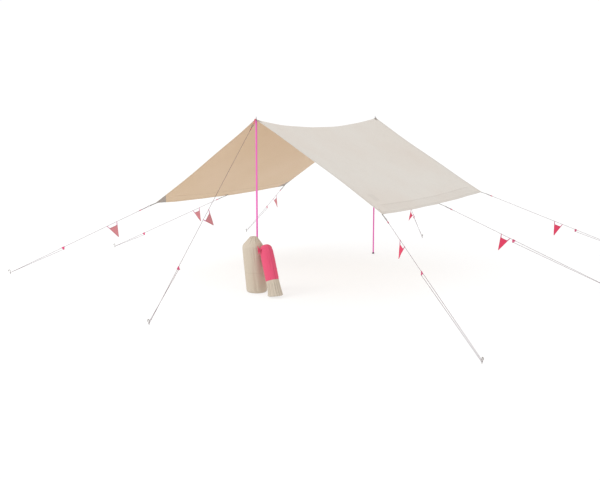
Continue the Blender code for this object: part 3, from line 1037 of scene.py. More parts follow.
    def build(self) -> bpy.types.Object:
        """Make the cloth as one closed sheet, pierced where the pole pins pass."""
        w_line = self.slope_lines()
        u = self.length_lines(w_line)
        w = np.broadcast_to(w_line, u.shape)
        middle, normal, depth = self.form(u, w), self.facing(u, w), self.depth(u, w)[..., None]
        rows, columns = u.shape
        upper, lower = middle + depth * normal, middle - depth * normal
        flat = np.stack([w * self.slope, middle[..., 1]], axis=-1)
        draft = Draft()
        count = rows * columns
        points = np.concatenate([upper.reshape(-1, 3), lower.reshape(-1, 3)])
        draft.points = [tuple(point) for point in points]
        draft.tones = list(np.concatenate([self.tones(u, w, face).ravel() for face in Face]))
        centre = columns // 2
        holes = {(i, j) for i in (2, rows - 4) for j in (centre - 1, centre)}
        flats = [tuple(xy) for xy in flat.reshape(-1, 2)]

        def lay(face: tuple, finish: int) -> None:
            """Add one face with its flat place."""
            draft.faces.append(face)
            draft.flats.append([flats[i % count] for i in face])
            draft.finish_of.append(finish)

        edges: dict[tuple[int, int], int] = {}
        for i in range(rows - 1):
            for j in range(columns - 1):
                if (i, j) in holes:
                    continue
                a = i * columns + j
                ring = (a, a + 1, a + columns + 1, a + columns)
                lay(ring, 0)
                lay(tuple(k + count for k in reversed(ring)), 1)
                for start, end in zip(ring, ring[1:] + ring[:1]):
                    if edges.pop((end, start), None) is None:
                        edges[(start, end)] = 1
        for start, end in edges:
            lay((end, start, start + count, end + count), 0)
        # The inner faces wear the painted glow of light through the cloth.
        sheet = draft.make("tarp_cloth", [CANVAS_OUTER, CANVAS_INNER_BACKLIT], 60.0)
        return dress(sheet, "tarp", Slot.CANOPY, "left_panel", "right_panel")

    def laid(self, draft: Draft, u: np.ndarray, w: np.ndarray, face: Face, thick: float, tone: float = 1.0) -> None:
        """Add a patch that lies on the cloth.

        Args:
            draft: the piece that the patch goes into.
            u, w: a grid of places on the cloth.
            face: the face that it lies on.
            thick: the patch's thickness.
            tone: how light it is.
        """
        sign = face.value
        middle, normal, depth = self.form(u, w), self.facing(u, w), self.depth(u, w)[..., None]
        near = middle + sign * (depth + 0.0002) * normal
        far = middle + sign * (depth + 0.0002 + thick) * normal
        flat = [tuple(xy) for xy in np.stack([w * self.slope, middle[..., 1]], axis=-1).reshape(-1, 2)]
        faces = slab_faces(*u.shape)
        points = list(near.reshape(-1, 3)) + list(far.reshape(-1, 3))
        flats = [[flat[k % u.size] for k in face] for face in faces]
        draft.put(points, faces, flats, 0, [tone] * len(points))

    def reinforcements(self) -> bpy.types.Object:
        """Grey triangles inside the four corners and saddles over the ridge ends."""
        draft = Draft()
        reach, rows, columns = 0.200, 16, 17
        steps = np.linspace(0.004, reach, rows)[:, None]
        share = np.linspace(0, 1, columns)[None, :]
        for side in (-1, 1):
            for end in (0, 1):
                v = 1 - (0.0015 + steps * share) / self.slope
                u = self.u_at(1.0, v) * (0.0015 + steps * (1 - share))
                self.laid(draft, np.abs(end - u), side * v, Face.INNER, 0.0006)
        w = np.linspace(-0.055, 0.055, 23)[None, :] / self.slope * np.ones((8, 1))
        for end in (0, 1):
            u = self.u_at(1.0, np.abs(w)) * np.linspace(0.0015, 0.060, 8)[:, None]
            for face in Face:
                self.laid(draft, np.abs(end - u), w, face, 0.0006)
        patches = draft.make("corner_reinforcements", [REINFORCEMENT], 60.0)
        return dress(patches, "tarp", Slot.WEBBING)

    def label(self) -> bpy.types.Object:
        """A plain sewn patch by the right front corner."""
        draft = Draft()
        u = np.linspace(0.215, 0.335, 9)[:, None] / (2 * self.pole_y) * np.ones((1, 8))
        w = np.linspace(1.615, 1.735, 8)[None, :] / self.slope * np.ones((9, 1))
        self.laid(draft, u, w, Face.OUTER, 0.0005, 0.95)
        patch = draft.make("plain_patch", [CANVAS_OUTER], 60.0)
        return dress(patch, "tarp", Slot.CANOPY)

    def row(self, u: np.ndarray, w: np.ndarray, face: Face, extra: float = 0.0) -> list[Vector]:
        """A line of points just proud of one face of the cloth.

        Args:
            u, w: the line's places on the cloth.
            face: the face that it runs on.
            extra: what lies on the cloth there, in metres.

        Returns:
            The points.
        """
        lift = self.depth(u, w)[..., None] + 0.0001 + extra
        return [Vector(p) for p in self.form(u, w) + face.value * lift * self.facing(u, w)]

    def stitch_rows(self, face: Face) -> list[list[Vector]]:
        """The stitch lines on one face: hems, felled seams and the patch."""
        rows = []
        for inset in (0.006, self.hem - 0.005):
            w = np.linspace(-1 + inset / self.slope, 1 - inset / self.slope, 300)
            u = self.u_at(inset, np.abs(w))
            rows += [self.row(u, w, face), self.row(1 - u, w, face)]
            u = np.linspace(self.u_at(inset, 1.0), 1 - self.u_at(inset, 1.0), 200)
            for side in (-1, 1):
                rows.append(self.row(u, np.full_like(u, side * (1 - inset / self.slope)), face))
        ends = np.array([0.20, 2.80]) / (2 * self.pole_y)
        for side in (-1, 1):
            for inset in (self.seam_up - 0.004, self.seam_up + 0.004):
                u = np.linspace(*ends, 160)
                rows.append(self.row(u, np.full_like(u, side * (1 - inset / self.slope)), face))
            w = side * np.linspace(1 - self.seam_up / self.slope, 1 - (self.seam_up + 0.11) / self.slope, 20)
            rows.append(self.row(np.full_like(w, ends[1]), w, face))
        if face is Face.OUTER:
            u0, u1, w0, w1 = 0.0718, 0.1101, 0.8141, 0.8693
            corners = [(u0, w0), (u1, w0), (u1, w1), (u0, w1), (u0, w0)]
            for (ua, wa), (ub, wb) in zip(corners, corners[1:]):
                rows.append(self.row(np.linspace(ua, ub, 12), np.linspace(wa, wb, 12), face, 0.0006))
        return rows

    def stitches(self) -> list[bpy.types.Object]:
        """Sew both faces."""
        made = []
        # The inner stitches wear the thread's painted backlit tan.
        for face, name, thread in ((Face.OUTER, "outer_stitches", PALE_THREAD), (Face.INNER, "inner_stitches", INNER_THREAD_BACKLIT)):
            sewn = Stitching().sew("tarp_" + name, self.stitch_rows(face), thread)
            made.append(dress(sewn, "tarp", Slot.CANOPY))
        return made

    def eyelets(self) -> bpy.types.Object:
        """Pressed metal eyelets where the pole pins pass through the cloth."""
        draft = Draft()
        profile = [(0.0044, -0.0021), (0.0092, -0.0021), (0.0099, -0.0014), (0.0052, -0.0008), (0.0052, 0.0008),
                   (0.0099, 0.0014), (0.0092, 0.0021), (0.0065, 0.0025), (0.0044, 0.0019)]
        for end in (-1, 1):
            u = 0.5 + end * self.pole_y / (2 * (self.pole_y + self.ridge_hem))
            draft.put(*turned(profile, self.spot(u, 0.0, 0.0), Vector((0, 0, 1)), 32))
        return dress(draft.make("ridge_eyelets", [EYELET_METAL]), "tarp", Slot.STEEL)

    def dress_all(self) -> None:
        sheet = self.build()
        parts = [self.reinforcements(), self.label(), self.eyelets(), *self.stitches()]


@dataclass
class Pole:
    """A dyed tube of three sections with the pin that carries the ridge."""

    name: str
    y: float
    radius: float = 0.011
    pin_radius: float = 0.004
    shoulder: float = 2.0654
    top: float = 2.100
    joints: tuple = (0.70, 1.40)
    sides: int = 40

    def build(self) -> bpy.types.Object:
        """Make the pole."""
        profile = [(0.0, 0.0065), (self.radius - 0.0004, 0.0065), (self.radius, 0.0075)]
        for z in self.joints:
            groove = self.radius - 0.0007
            profile += [(self.radius, z - 0.0016), (self.radius - 0.0002, z - 0.0009), (groove, z - 0.0006),
                        (groove, z + 0.0006), (self.radius - 0.0002, z + 0.0009), (self.radius, z + 0.0016)]
        profile += [(self.radius, self.shoulder - 0.0175), (self.radius - 0.0003, self.shoulder - 0.0150)]
        tube_rings = len(profile)
        profile += [(self.pin_radius + 0.0014, self.shoulder - 0.0050), (self.pin_radius, self.shoulder - 0.0042)]
        profile += [(self.pin_radius, self.top - 0.0045), (self.pin_radius * 0.9, self.top - 0.0022)]
        profile += [(self.pin_radius * 0.62, self.top - 0.0006), (0.0, self.top)]
        draft = Draft()
        draft.put(*turned(profile, Vector((0, self.y, 0)), Vector((0, 0, 1)), self.sides))
        draft.finish_of = [int(i >= tube_rings * self.sides) for i in range(len(draft.faces))]
        made = draft.make(self.name + "_tube", [POLE_DYE, PIN_METAL], 50.0)
        return dress(made, "tarp", Slot.POLE, self.name)

    def foot(self) -> bpy.types.Object:
        """Make the rubber foot, ribbed and hollow for the tube."""
        profile = [(0.0, 0.0), (0.0140, 0.0), (0.0163, 0.0006), (0.0174, 0.0022)]
        for rib in range(4):
            low = 0.0034 + 0.0026 * rib
            profile += [(0.0175 - 0.0002 * rib, low), (0.0168 - 0.0002 * rib, low + 0.0010),
                        (0.0175 - 0.0003 * rib, low + 0.0020)]
        profile += [(0.0158, 0.0156), (0.0142, 0.0186), (0.0130, 0.0198), (0.0119, 0.0200), (0.0113, 0.0194)]
        profile += [(0.0113, 0.0062), (0.0, 0.0062)]
        draft = Draft()
        draft.put(*turned(profile, Vector((0, self.y, 0)), Vector((0, 0, 1)), self.sides))
        return dress(draft.make(self.name + "_rubber_foot", [FOOT_RUBBER], 50.0), "tarp", Slot.FOOT, self.name + "_foot")


@dataclass
class GuyLine:
    """One guy: webbing tie, ring, rope, knot, runner, pennant and peg."""

    canopy: Canopy
    name: str
    place: Place
    u: float
    peg_at: Pair
    flag: Pair
    runner_at: float
    # True picks the pennant's red in light, False its painted shaded copy.
    in_light: bool
    rope_radius: float = 0.002
    rope_on_peg: float = 0.020
    tie_width: float = 0.018
    tie_leg: float = 0.045
    strap: float = 0.0012
    ring_at: float = 0.100
    ring_half: Pair = (0.0170, 0.0100)
    ring_wire: float = 0.0019
    runner_thick: float = 0.0030
    half_span: float = 0.0145
    drop: float = 0.028
    runner_round: float = 0.0075
    peg_radius: float = 0.0035
    peg_height: float = 0.048
    peg_hook: float = 0.011
    peg_nose: float = 0.012
    flag_top: float = 0.040
    flag_shoulder: float = 0.028
    flag_drop: float = 0.195
    tip_half: float = 0.004
    ear_top: float = 0.0040
    ear_inset: float = 0.006
    loop_inset: float = 0.010
    knot_at: float = 0.150

    def __post_init__(self) -> None:
        """Work out the rope's straight line and the directions square to it."""
        self.peg = Vector((*self.peg_at, 0.0))
        if self.place is Place.RIDGE:
            self.start = Vector((0, self.canopy.pole_y * (2 * self.u - 1), self.canopy.ridge_z + 0.002))
        else:
            share = 4 * self.u * (1 - self.u)
            corner, middle = self.canopy.corner[self.place], self.canopy.middle[self.place]
            x, z = (corner[k] + share * (middle[k] - corner[k]) for k in (0, 1))
            y = self.canopy.pole_y * (2 * self.u - 1)
            self.start = Vector((x, y, z - self.canopy.solid_thickness / 2))
        reach = self.peg + Vector((0, 0, self.rope_on_peg)) - self.start
        self.length = reach.length
        self.along = reach.normalized()
        self.out = Vector((reach.x, reach.y, 0)).normalized()
        self.side = Vector((-self.out.y, self.out.x, 0))
        self.down = self.along.cross(self.side).normalized()
        if self.down.z > 0:
            self.down = -self.down
        self.across, self.legs = self.tie_route()
        self.face = self.along.cross(self.across).normalized()
        if self.face.dot(self.down) < 0:
            self.face = -self.face
        self.weave = self.runner_thick / 2 + self.rope_radius + 0.0004

    def at(self, along: float, down: float = 0.0, side: float = 0.0) -> Vector:
        """Point at a distance along the rope, below it and beside it."""
        return self.start + along * self.along + down * self.down + side * self.side

    def tie_route(self) -> tuple[Vector, list[Vector]]:
        """Direction across the tie's strap and the middle of its route."""
        near_bar = self.ring_at - self.ring_half[0]
        if self.place is Place.RIDGE:
            up = Vector((0, 0, 1))
            route = [self.start + 0.006 * self.out, self.start + 0.021 * self.out, self.at(near_bar)]
        else:
            w = self.place.value
            inward_u = self.u + (0.5 - self.u) * 2 * self.tie_leg * abs(self.out.y) / self.canopy.pole_y
            inward_w = w * (1 - self.tie_leg * abs(self.out.x) / self.canopy.slope)
            under = self.canopy.half_cloth + self.canopy.hem_extra + 0.0008 + 2 * self.strap
            up = Vector(self.canopy.facing(np.array([self.u]), np.array([w * 0.98]))[0])
            route = [self.canopy.spot(inward_u, inward_w, -under), self.canopy.spot(self.u, w, -under),
                     self.at(near_bar)]
        width = up.cross(route[1] - route[0]).normalized()
        across = (width - width.dot(self.along) * self.along).normalized()
        return across, route

    def tie(self) -> bpy.types.Object:
        """The folded strap, sewn under the cloth and looped round the ring's bar."""
        gap = self.strap / 2 + 0.0002
        round_bar = self.ring_wire + self.strap / 2 + 0.0002
        bar = self.legs[-1]
        start_up = self.across.cross(self.legs[1] - self.legs[0]).normalized()
        inner = [point + gap * start_up for point in self.legs[:2]]
        lower = [point - gap * start_up for point in self.legs[:2]]
        sheet_up = self.across.cross(self.along).normalized()
        curve = []
        for step in range(9):
            turn = math.pi * (0.5 - step / 8)
            curve.append(bar + round_bar * (math.cos(turn) * self.along + math.sin(turn) * sheet_up))
        neck = bar - 0.011 * self.along
        route = eased(inner + [neck + gap * sheet_up], 0.006) + curve + eased([neck - gap * sheet_up] + lower[::-1], 0.006)
        draft = Draft()
        points, faces, flats = swept(route, strap_section(self.tie_width, self.strap), start_up)
        flats = [[(x * 2.2 * self.tie_width, y) for x, y in face] for face in flats]
        draft.put(points, faces, flats)
        if self.place is Place.RIDGE:
            profile = [(0.0044, -0.0013), (0.0118, -0.0013), (0.0122, 0.0), (0.0118, 0.0013), (0.0044, 0.0013)]
            draft.put(*turned(profile, self.start, Vector((0, 0, 1)), 32))
        finish = PINK_WEBBING if self.name == "front_ridge" else GREY_WEBBING
        return dress(draft.make("webbing_tie_" + self.name, [finish], 50.0), "tarp", Slot.WEBBING, "tie_" + self.name)

    def ring(self) -> bpy.types.Object:
        """The oblong wire ring between strap and rope."""
        long_half, wide_half = self.ring_half
        route = []
        for step in range(32):
            turn = 2 * math.pi * step / 32
            x = math.copysign(abs(math.cos(turn)) ** 0.55, math.cos(turn)) * long_half
            y = math.copysign(abs(math.sin(turn)) ** 0.55, math.sin(turn)) * (wide_half + 0.0012)
            route.append(self.at(self.ring_at) + x * self.along + y * self.across)
        draft = Draft()
        draft.put(*swept(route, round_section(self.ring_wire, 10), self.face, closed=True))
        return dress(draft.make("tie_ring_" + self.name, [RING_METAL]), "tarp", Slot.STEEL)

    def rope_route(self) -> list[Vector]:
        """The rope from its dead end through ring, runner and round the peg."""
        wrap = self.ring_wire + self.rope_radius + 0.0003
        bar = self.ring_at + self.ring_half[0]

        def eye(along: float, off: float) -> Vector:
            """Point near the ring, off its plane."""
            return self.at(along) + off * self.face

        knot = self.knot_at
        route = [eye(knot + 0.034, 0.0036), eye(knot + 0.020, 0.0026), eye(knot + 0.002, 0.0028), eye(0.136, 0.0034),
                 eye(bar + 0.004, wrap)]
        for step in range(1, 6):
            turn = math.pi * (0.5 - step / 6)
            route.append(eye(bar - wrap * math.cos(turn), wrap * math.sin(turn)))
        route += [eye(bar + 0.004, -wrap), eye(0.138, -0.0030), eye(knot + 0.002, -0.0022), eye(knot + 0.022, -0.0022),
                  eye(knot + 0.040, 0.0)]
        near, far, bend = self.runner_at - self.half_span, self.runner_at + self.half_span, 0.0028
        weave = self.weave

        def by(along: float, side: float, down: float = 0.0) -> Vector:
            """Point beside the rope's straight line."""
            return self.at(along, down, side)

        route += [by(near - 0.026, 0), by(near - 0.011, weave), by(near - bend, weave), by(near, weave - bend),
                  by(near, bend - weave), by(near + bend, -weave), by(far - bend, -weave), by(far, bend - weave),
                  by(far, weave - bend), by(far + bend, weave), by(far + 0.011, weave)]
        turn_radius = self.peg_radius + self.rope_radius + 0.0004
        tilt = 1 / self.along.dot(self.out)
        for step in range(9):
            turn = math.pi * step / 8
            route.append(by(self.length + turn_radius * tilt * math.sin(turn), turn_radius * math.cos(turn)))
        apex = self.runner_at
        route += [by(apex + 0.020, -weave, self.drop - 0.001), by(apex + bend, -weave, self.drop),
                  by(apex, bend - weave, self.drop), by(apex, weave + 0.001, self.drop)]
        return route

    def rope(self) -> bpy.types.Object:
        """Make the rope, which ends at the stopper knot behind the runner."""
        draft = Draft()
        draft.put(*swept(eased(self.rope_route(), 0.004, 3), round_section(self.rope_radius, 10), self.side))
        made = draft.make("braided_rope_" + self.name, [GUY_BRAID], 60.0)
        return dress(made, "tarp", Slot.ROPE, "guy_rope_" + self.name)

    def knots(self) -> bpy.types.Object:
        """The coloured whipping behind the ring and the stopper at the runner."""
        draft = Draft()
        turns, start, pitch, around = 6.0, self.knot_at, 0.0040, 0.0042
        route = []
        for step in range(int(turns * 12) + 1):
            turn = 2 * math.pi * step / 12
            wide = around + 0.0014 * abs(math.cos(turn))
            offset = wide * math.cos(turn) * self.face + around * math.sin(turn) * self.across
            route.append(self.at(start + pitch * step / 12) + offset)
        draft.put(*swept(route, round_section(0.0018, 8), self.face))
        hub = self.at(self.runner_at, self.drop, self.weave + 0.0024)
        route = []
        for step in range(40):
            turn = 2 * math.pi * step / 40
            swing = 0.0030 + 0.0006 * math.cos(3 * turn)
            route.append(hub + swing * (math.cos(2 * turn) * self.along + math.sin(2 * turn) * self.down)
                         + 0.0015 * math.sin(3 * turn) * self.side)
        draft.put(*swept(route, round_section(0.0016, 8), self.side, closed=True))
        return dress(draft.make("rope_knots_" + self.name, [PINK_BRAID], 60.0), "tarp", Slot.ROPE)

    def runner(self) -> bpy.types.Object:
        """The moulded three-hole plate, its edges and holes rounded."""
        centres = [(-self.half_span, 0.0), (self.half_span, 0.0), (0.0, self.drop)]
        middle = (0.0, self.drop / 3)
        outline = []
        for along, down in centres:
            facing = math.atan2(down - middle[1], along - middle[0])
            for step in range(-6, 7):
                turn = facing + math.radians(9.5) * step
                outline.append((along + self.runner_round * math.cos(turn), down + self.runner_round * math.sin(turn)))
        outline.sort(key=lambda p: math.atan2(p[1] - middle[1], p[0] - middle[0]))
        bevel = 0.0007
        shape = bpy.data.curves.new("runner_shape", "CURVE")
        shape.dimensions = "2D"
        shape.fill_mode = "BOTH"
        shape.extrude = self.runner_thick / 2 - bevel
        shape.bevel_depth = bevel
        shape.bevel_resolution = 2
        shape.offset = -bevel
        loops = [outline]
        for along, down in centres:
            loops.append([(along + x, down + y) for x, y in round_section(0.0034, 20)])
        for loop in loops:
            spline = shape.splines.new("POLY")
            spline.points.add(len(loop) - 1)
            for point, (x, y) in zip(spline.points, loop):
                point.co = (x, y, 0.0, 1.0)
            spline.use_cyclic_u = True
        holder = bpy.data.objects.new("runner_shape", shape)
        bpy.context.scene.collection.objects.link(holder)
        bpy.context.view_layer.update()
        mesh = bpy.data.meshes.new_from_object(holder.evaluated_get(bpy.context.evaluated_depsgraph_get()))
        bpy.data.objects.remove(holder, do_unlink=True)
        bpy.data.curves.remove(shape)
        basis = Matrix((self.along, self.down, self.side)).transposed().to_4x4()
        mesh.transform(Matrix.Translation(self.at(self.runner_at)) @ basis)
        work = bmesh.new()
        work.from_mesh(mesh)
        bmesh.ops.remove_doubles(work, verts=work.verts, dist=0.00002)
        bmesh.ops.recalc_face_normals(work, faces=work.faces)
        work.to_mesh(mesh)
        work.free()
        mesh.shade_smooth()
        mesh.set_sharp_from_angle(angle=math.radians(40))
        mesh.materials.clear()
        mesh.materials.append(RACK.get(RUNNER_PINK))
        made = bpy.data.objects.new("rope_runner_" + self.name, mesh)
        bpy.context.scene.collection.objects.link(made)
        return dress(made, "tarp", Slot.RUNNER, "runner_" + self.name)

    def flag_edges(self, down: np.ndarray) -> tuple[np.ndarray, np.ndarray]:
        """Where along the rope the pennant's two side edges are, at a depth below it."""
        start, end = self.flag
        middle = (start + end) / 2
        sink = (down - self.ear_top) / (self.flag_drop - self.ear_top)
        first, last = start + self.ear_inset, end - self.ear_inset
        return first + (middle - self.tip_half - first) * sink, last + (middle + self.tip_half - last) * sink

    def flag_curl(self, along: np.ndarray, down: np.ndarray) -> np.ndarray:
        """How far the pennant's cloth stands off its plane."""
        start, end = self.flag
        share = (along - start) / (end - start)
        fall = np.clip((down - self.flag_shoulder) / (self.flag_drop - self.flag_shoulder), 0, 1)
        phase = 1.9 * self.runner_at
        return fall * (0.0035 * np.sin(3.2 * share + phase) + 0.0022 * np.sin(7.0 * fall + phase))

    def flag_cloth(self, draft: Draft, along: np.ndarray, down: np.ndarray, depth: np.ndarray,
                   tones: np.ndarray) -> None:
        """Add a closed stretch of the pennant's cloth.

        Args:
            draft: the piece that it goes into.
            along, down: a grid of places along and below the rope.
            depth: half its thickness at each place.
            tones: how light it is at each place.
        """
        base = np.array(self.start) + along[..., None] * np.array(self.along) + down[..., None] * np.array(self.down)
        curl, side = self.flag_curl(along, down), np.array(self.side)
        points = [p for sign in (1, -1) for p in (base + (curl + sign * depth)[..., None] * side).reshape(-1, 3)]
        faces = slab_faces(*along.shape)
        flat = np.stack([along, down], axis=-1).reshape(-1, 2)
        flats = [[tuple(flat[k % along.size]) for k in face] for face in faces]
        draft.put(points, faces, flats, 0, list(tones.ravel()) * 2)

    def pennant(self) -> bpy.types.Object:
        """The small flag: a hemmed cloth triangle that hangs by two ears."""
        fall = np.linspace(0, 1, 26)[:, None]
        margin = 0.08
        hem_share = np.array([0.0, 0.45, 0.90, 1.0]) * margin
        body = margin + np.linspace(0, 1, 11)[1:-1] * (1 - 2 * margin)
        across = np.concatenate([hem_share, body, 1 - hem_share[::-1]])[None, :]
        top = self.flag_top - (self.flag_top - self.flag_shoulder) * np.abs(2 * across - 1) ** 8
        down = top + (self.flag_drop - top) * fall
        left, right = self.flag_edges(down)
        width = right - left
        hem = np.minimum(0.0075, 0.42 * width)
        inner = left + hem + (width - 2 * hem) * (across - margin) / (1 - 2 * margin)
        along = np.where(across <= margin, left + hem * across / margin, inner)
        along = np.where(across >= 1 - margin, right - hem * (1 - across) / margin, along)
        side_hem = ((across < 0.94 * margin) | (across > 1 - 0.94 * margin)) & (fall >= 0)
        top_hem = (fall < 0.05) & (across >= 0)
        # Painted shade along the doubled hems, darkest at the top hem.
        tones = np.where(top_hem, 0.78, np.where(side_hem, 0.88, 1.0))
        draft = Draft()
        self.flag_cloth(draft, along, down, 0.00040 + 0.00045 * (side_hem | top_hem), tones)
        # Red in light, or the painted shaded copy of the same cloth.
        flag = draft.make("flag_" + self.name, [PENNANT_RED if self.in_light else PENNANT_SHADED], 50.0)
        dress(flag, "pennant_" + self.name, Slot.PENNANT, "pennant_" + self.name)
        ears = self.ears()
        return flag

    def ears(self) -> bpy.types.Object:
        """The two tapered ears at the flag's upper corners and their loops on the rope."""
        draft = Draft()
        down = np.linspace(self.ear_top, 0.047, 12)[:, None]
        share = np.linspace(0, 1, 5)[None, :]
        left, right = self.flag_edges(down)
        width = 0.0084 + 0.0062 * (down - self.ear_top) / 0.042
        depth = 0.00125 + 0 * (down + share)
        # Painted shade along the ears' edges and lower ends.
        tones = np.where((share > 0.1) & (share < 0.9) & (down < 0.044), 1.0, 0.86)
        for outer, way in ((left, 1), (right, -1)):
            self.flag_cloth(draft, outer + way * (width * share - 0.0003), down + 0 * share, depth, tones)
        profile = [(0.00245, -0.0046), (0.0040, -0.0046), (0.0046, -0.0036), (0.0047, 0.0), (0.0046, 0.0036),
                   (0.0040, 0.0046), (0.00245, 0.0046)]
        for loop in (self.flag[0] + self.loop_inset, self.flag[1] - self.loop_inset):
            draft.put(*turned(profile, self.at(loop), self.along, 20))
        made = draft.make("flag_ears_" + self.name, [EAR_RED if self.in_light else EAR_SHADED], 50.0)
        return dress(made, "pennant_" + self.name, Slot.PENNANT)

    def peg_piece(self) -> bpy.types.Object:
        """The hooked peg, bent from round bar."""
        top = self.peg + Vector((0, 0, self.peg_height))
        route = [self.peg, self.peg + Vector((0, 0, 0.004)), top]
        hub = top + self.peg_hook * self.out
        for step in range(1, 17):
            turn = math.pi * step / 16
            route.append(hub + self.peg_hook * (Vector((0, 0, math.sin(turn))) - math.cos(turn) * self.out))
        nose = route[-1]
        route += [nose - Vector((0, 0, self.peg_nose - 0.0015)), nose - Vector((0, 0, self.peg_nose))]
        scales = [1.0] * (len(route) - 1) + [0.6]
        draft = Draft()
        draft.put(*swept(route, round_section(self.peg_radius, 14), self.side, scales))
        return dress(draft.make("steel_peg_" + self.name, [PEG_STEEL], 50.0), "tarp", Slot.STEEL, "peg_" + self.name)

    def tie_stitches(self) -> list[list[Vector]]:
        """Box stitches through the cloth over the strap's leg, as seen outside."""
        if self.place is Place.RIDGE:
            return []
        first, second = self.legs[0], self.legs[1]
        length = (second - first).length
        ahead = (second - first).normalized()
        across = (self.across - self.across.dot(ahead) * ahead).normalized()
        lift = 2 * (self.canopy.half_cloth + self.canopy.hem_extra) + 2 * self.strap + 0.0012
        up = ahead.cross(across)
        if up.z < 0:
            up = -up
        half = self.tie_width / 2 - 0.003
        near, far = 0.004, length - 0.006
        box = [(near, -half), (far, -half), (far, half), (near, half), (near, -half), (far, half)]
        corners = [first + a * ahead + b * across + lift * up for a, b in box]
        return [[a.lerp(b, k / 6) for k in range(7)] for a, b in zip(corners, corners[1:])]

    def build(self) -> None:
        """Build the whole guy."""
        self.tie()
        self.ring()
        self.rope()
        self.knots()
        self.runner()
        self.pennant()
        self.peg_piece()


